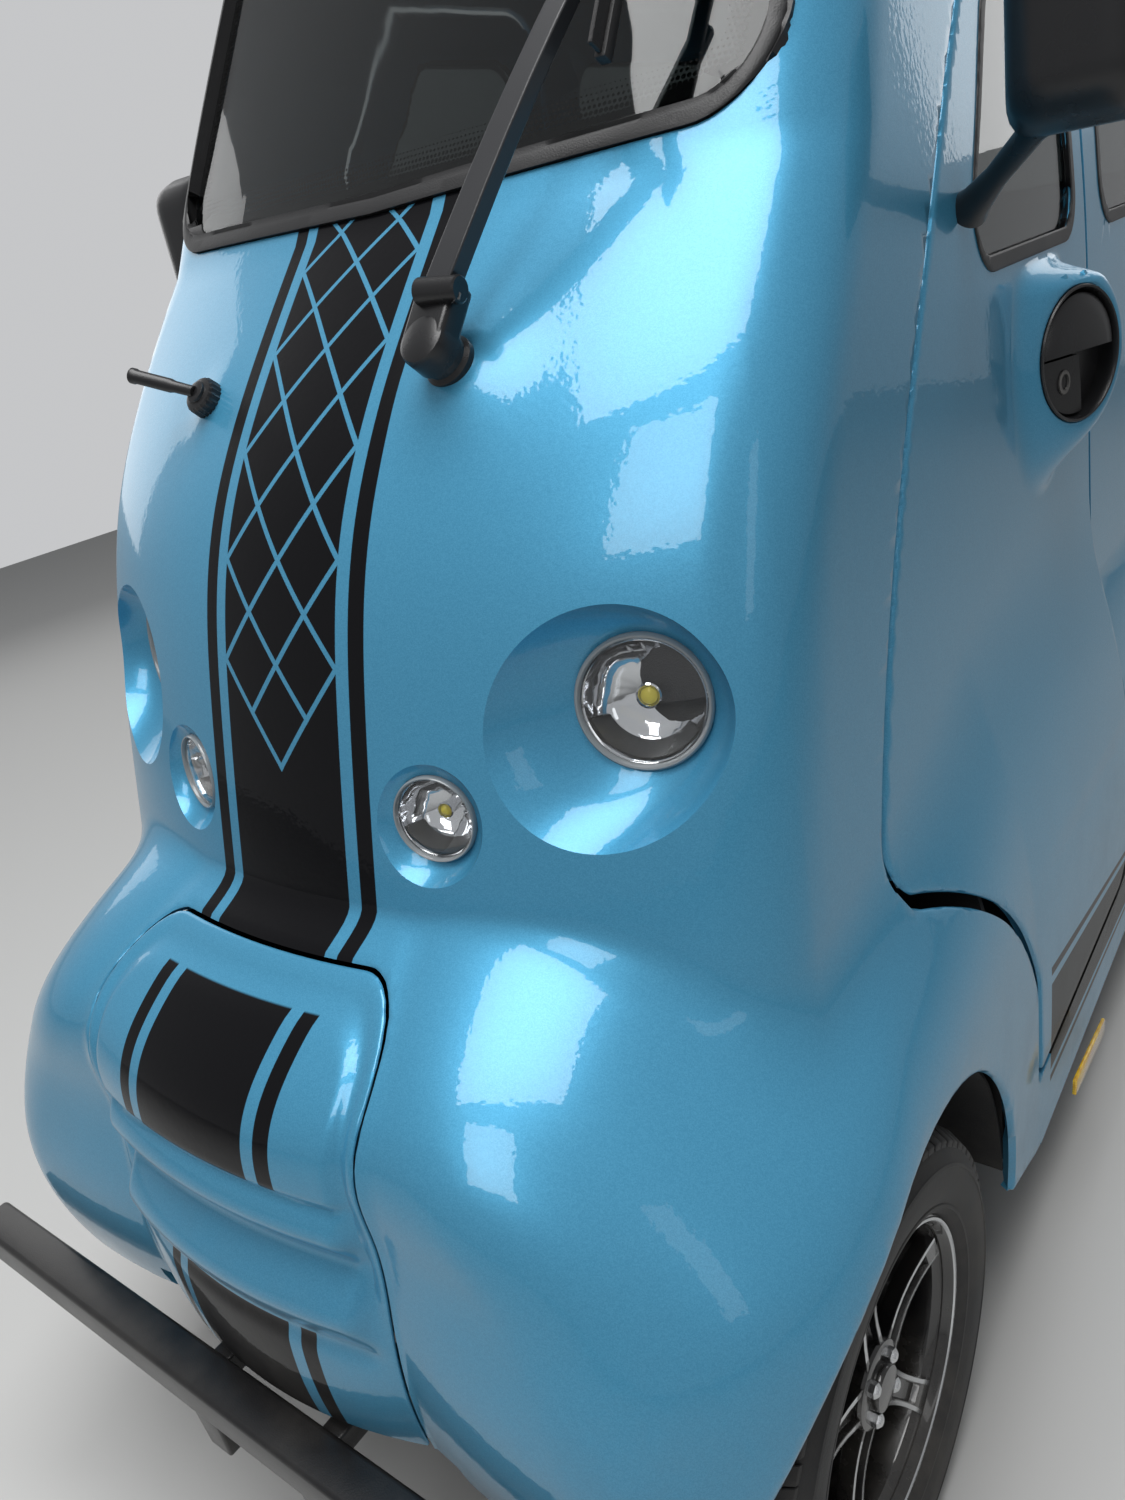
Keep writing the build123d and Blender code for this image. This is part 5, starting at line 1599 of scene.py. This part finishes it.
def makeGusset(place, sign, size=0.036):
    # a triangular plate in the corner between the tube and a leg
    plate = block("gusset", (size, 0.006, size))
    for vert in plate.data.vertices:
        if vert.co.x * sign > 0 and vert.co.z < 0:
            vert.co.z = size / 2 - 0.002
    return put(beveled(plate, 0.0008, 1), Matrix.Translation(place))


def makeBumper():
    b = bumper
    y, z, armTo = b["y"], b["z"], b["armTo"]
    foot = z - b["size"] / 2
    long = armTo - y
    wide, deep, high = b["leg"]
    pieces = [block("bumperBar", (2 * b["half"], b["size"], b["size"]), 0.0055, 4, (0, y, z))]
    plugs, bolts = [], []
    for sign in (-1, 1):
        x = sign * b["armX"]
        pieces.append(block("bumperArm", (b["armSize"], long, b["armSize"]), 0.0030, 3, (x, y + long / 2, z)))
        pieces.append(block("bumperFlange", (0.046, 0.006, 0.046), 0.0015, 2, (x, armTo - 0.003, z)))
        leg = block("bumperLeg", (wide, deep, high), place=(x, y, foot - high / 2 + 0.004))
        for vert in leg.data.vertices:
            if vert.co.z < z - 0.05:
                vert.co.x = x + (vert.co.x - x) * 0.78
                vert.co.y = y + (vert.co.y - y) * 0.85
        pieces.append(beveled(leg, 0.003, 3))
        for side in (-1, 1):
            pieces.append(makeGusset((x + side * (wide / 2 + 0.016), y, foot - 0.016), side))
            bolt = turned("bumperBolt", [(0.0066, 0.0), (0.0066, 0.0045), (0.0058, 0.0055), (0.0006, 0.0056)], 6)
            spot = Vector((x + side * 0.016, armTo - 0.006, z + side * 0.016))
            bolts.append(put(bolt, between(spot, spot + Vector((0, -1, 0)))))
        end = Vector((sign * b["half"], y, z))
        plug = turned("bumperPlug", [(0.0215, -0.004), (0.0215, 0.0010), (0.0190, 0.0028), (0.0006, 0.0034)], 4)
        spun(plug, math.radians(45))
        plugs.append(put(plug, between(end, end + Vector((sign, 0, 0)), (0, 0, 1))))
    for name, made, material, replaces, angle in (("bumperBar", pieces, frameBlack, ("bumper_bar",), 35),
                                                  ("bumperPlugs", plugs, floorBlack, (), 35),
                                                  ("bumperBolts", bolts, castSteel, (), 30)):
        finish(joined(name, made), material, "root", replaces, angle)


makeBumper()

# springs round the front struts
spring = {"foot": (0.2690, -0.795, 0.312), "top": (0.2345, -0.795, 0.478), "radius": 0.0265, "wire": 0.0050, "turns": 6}


def makeSprings():
    s = spring
    foot, top = Vector(s["foot"]), Vector(s["top"])
    clearSelection()
    bpy.ops.mesh.primitive_circle_add(vertices=10, radius=s["wire"], location=(0, 0, 0))
    coil = bpy.context.object
    coil.name = "strutSpring"
    put(coil, Matrix.Translation((s["radius"], 0, 0)) @ Matrix.Rotation(math.radians(90), 4, "X"))
    applied(coil, "SCREW", angle=2 * math.pi, screw_offset=(top - foot).length / s["turns"],
            iterations=s["turns"], steps=22, render_steps=22)
    editAll(coil, bpy.ops.mesh.fill_holes, sides=0)
    editAll(coil, bpy.ops.mesh.normals_make_consistent, inside=False)
    bothSides(put(coil, between(foot, top)), "strutSprings", castSteel, (), 60)


makeSprings()

# glass and the plainer nodes keep their own shape
keptNodes = [
    # node, piece, material, body, slot
    ("windscreen", "screenGlass", darkGlass, "root", "glass"),
    ("door_glass_left", "doorGlassLeft", darkGlass, "door_left", "glass"),
    ("door_glass_right", "doorGlassRight", darkGlass, "door_right", "glass"),
    ("quarter_windows", "quarterGlass", darkGlass, "root", "glass"),
    ("rear_window", "rearGlass", darkGlass, "root", "glass"),
    ("front_suspension", "frontSuspension", frameBlack, "root", None),
    ("swing_arm", "swingArm", frameBlack, "root", None),
    ("steering_column", "steeringColumn", dashPlastic, "root", None),
    ("wheel_liners", "wheelLiners", floorBlack, "root", None),
    ("dashboard", "dashboard", dashPlastic, "root", None),
    ("knuckle_left", "knuckleLeft", castSteel, "knuckle_left", None),
    ("knuckle_right", "knuckleRight", castSteel, "knuckle_right", None),
]
for row in keptNodes:
    copyNode(*row)
print("interior and frame made")


def makeFloor():
    clearSelection()
    bpy.ops.mesh.primitive_plane_add(size=13, location=(0, 0, 0))
    floor = bpy.context.object
    floor.name = "floor"
    floor.data.materials.append(newMaterial("floorPale", (0.62, 0.62, 0.61), Roughness=0.8)[0])


def makeWorld():
    # pale to the eye, dimmer in reflections and much dimmer as light
    world = bpy.data.worlds.new("world")
    bpy.context.scene.world = world
    world.use_nodes = True
    tree = world.node_tree
    tree.nodes.clear()
    rays = addNode(tree, "ShaderNodeLightPath").outputs
    seen, through, glossy = (Field(tree, rays[name]) for name in ("Is Camera Ray", "Is Transmission Ray", "Is Glossy Ray"))
    white = fieldOf(tree, "ShaderNodeBackground", {"Color": (0.97, 0.98, 1.0, 1), "Strength": 0.58})
    sky = fieldOf(tree, "ShaderNodeBackground", {"Color": (0.93, 0.96, 1.0, 1), "Strength": 0.13})
    mix = fieldOf(tree, "ShaderNodeMixShader", {0: seen.most(through).most(glossy * 0.5), 1: sky, 2: white})
    addNode(tree, "ShaderNodeOutputWorld", {0: mix})


makeFloor()
makeWorld()
bpy.context.scene.view_settings.view_transform = "Standard"

# the end
bpy.context.view_layer.update()
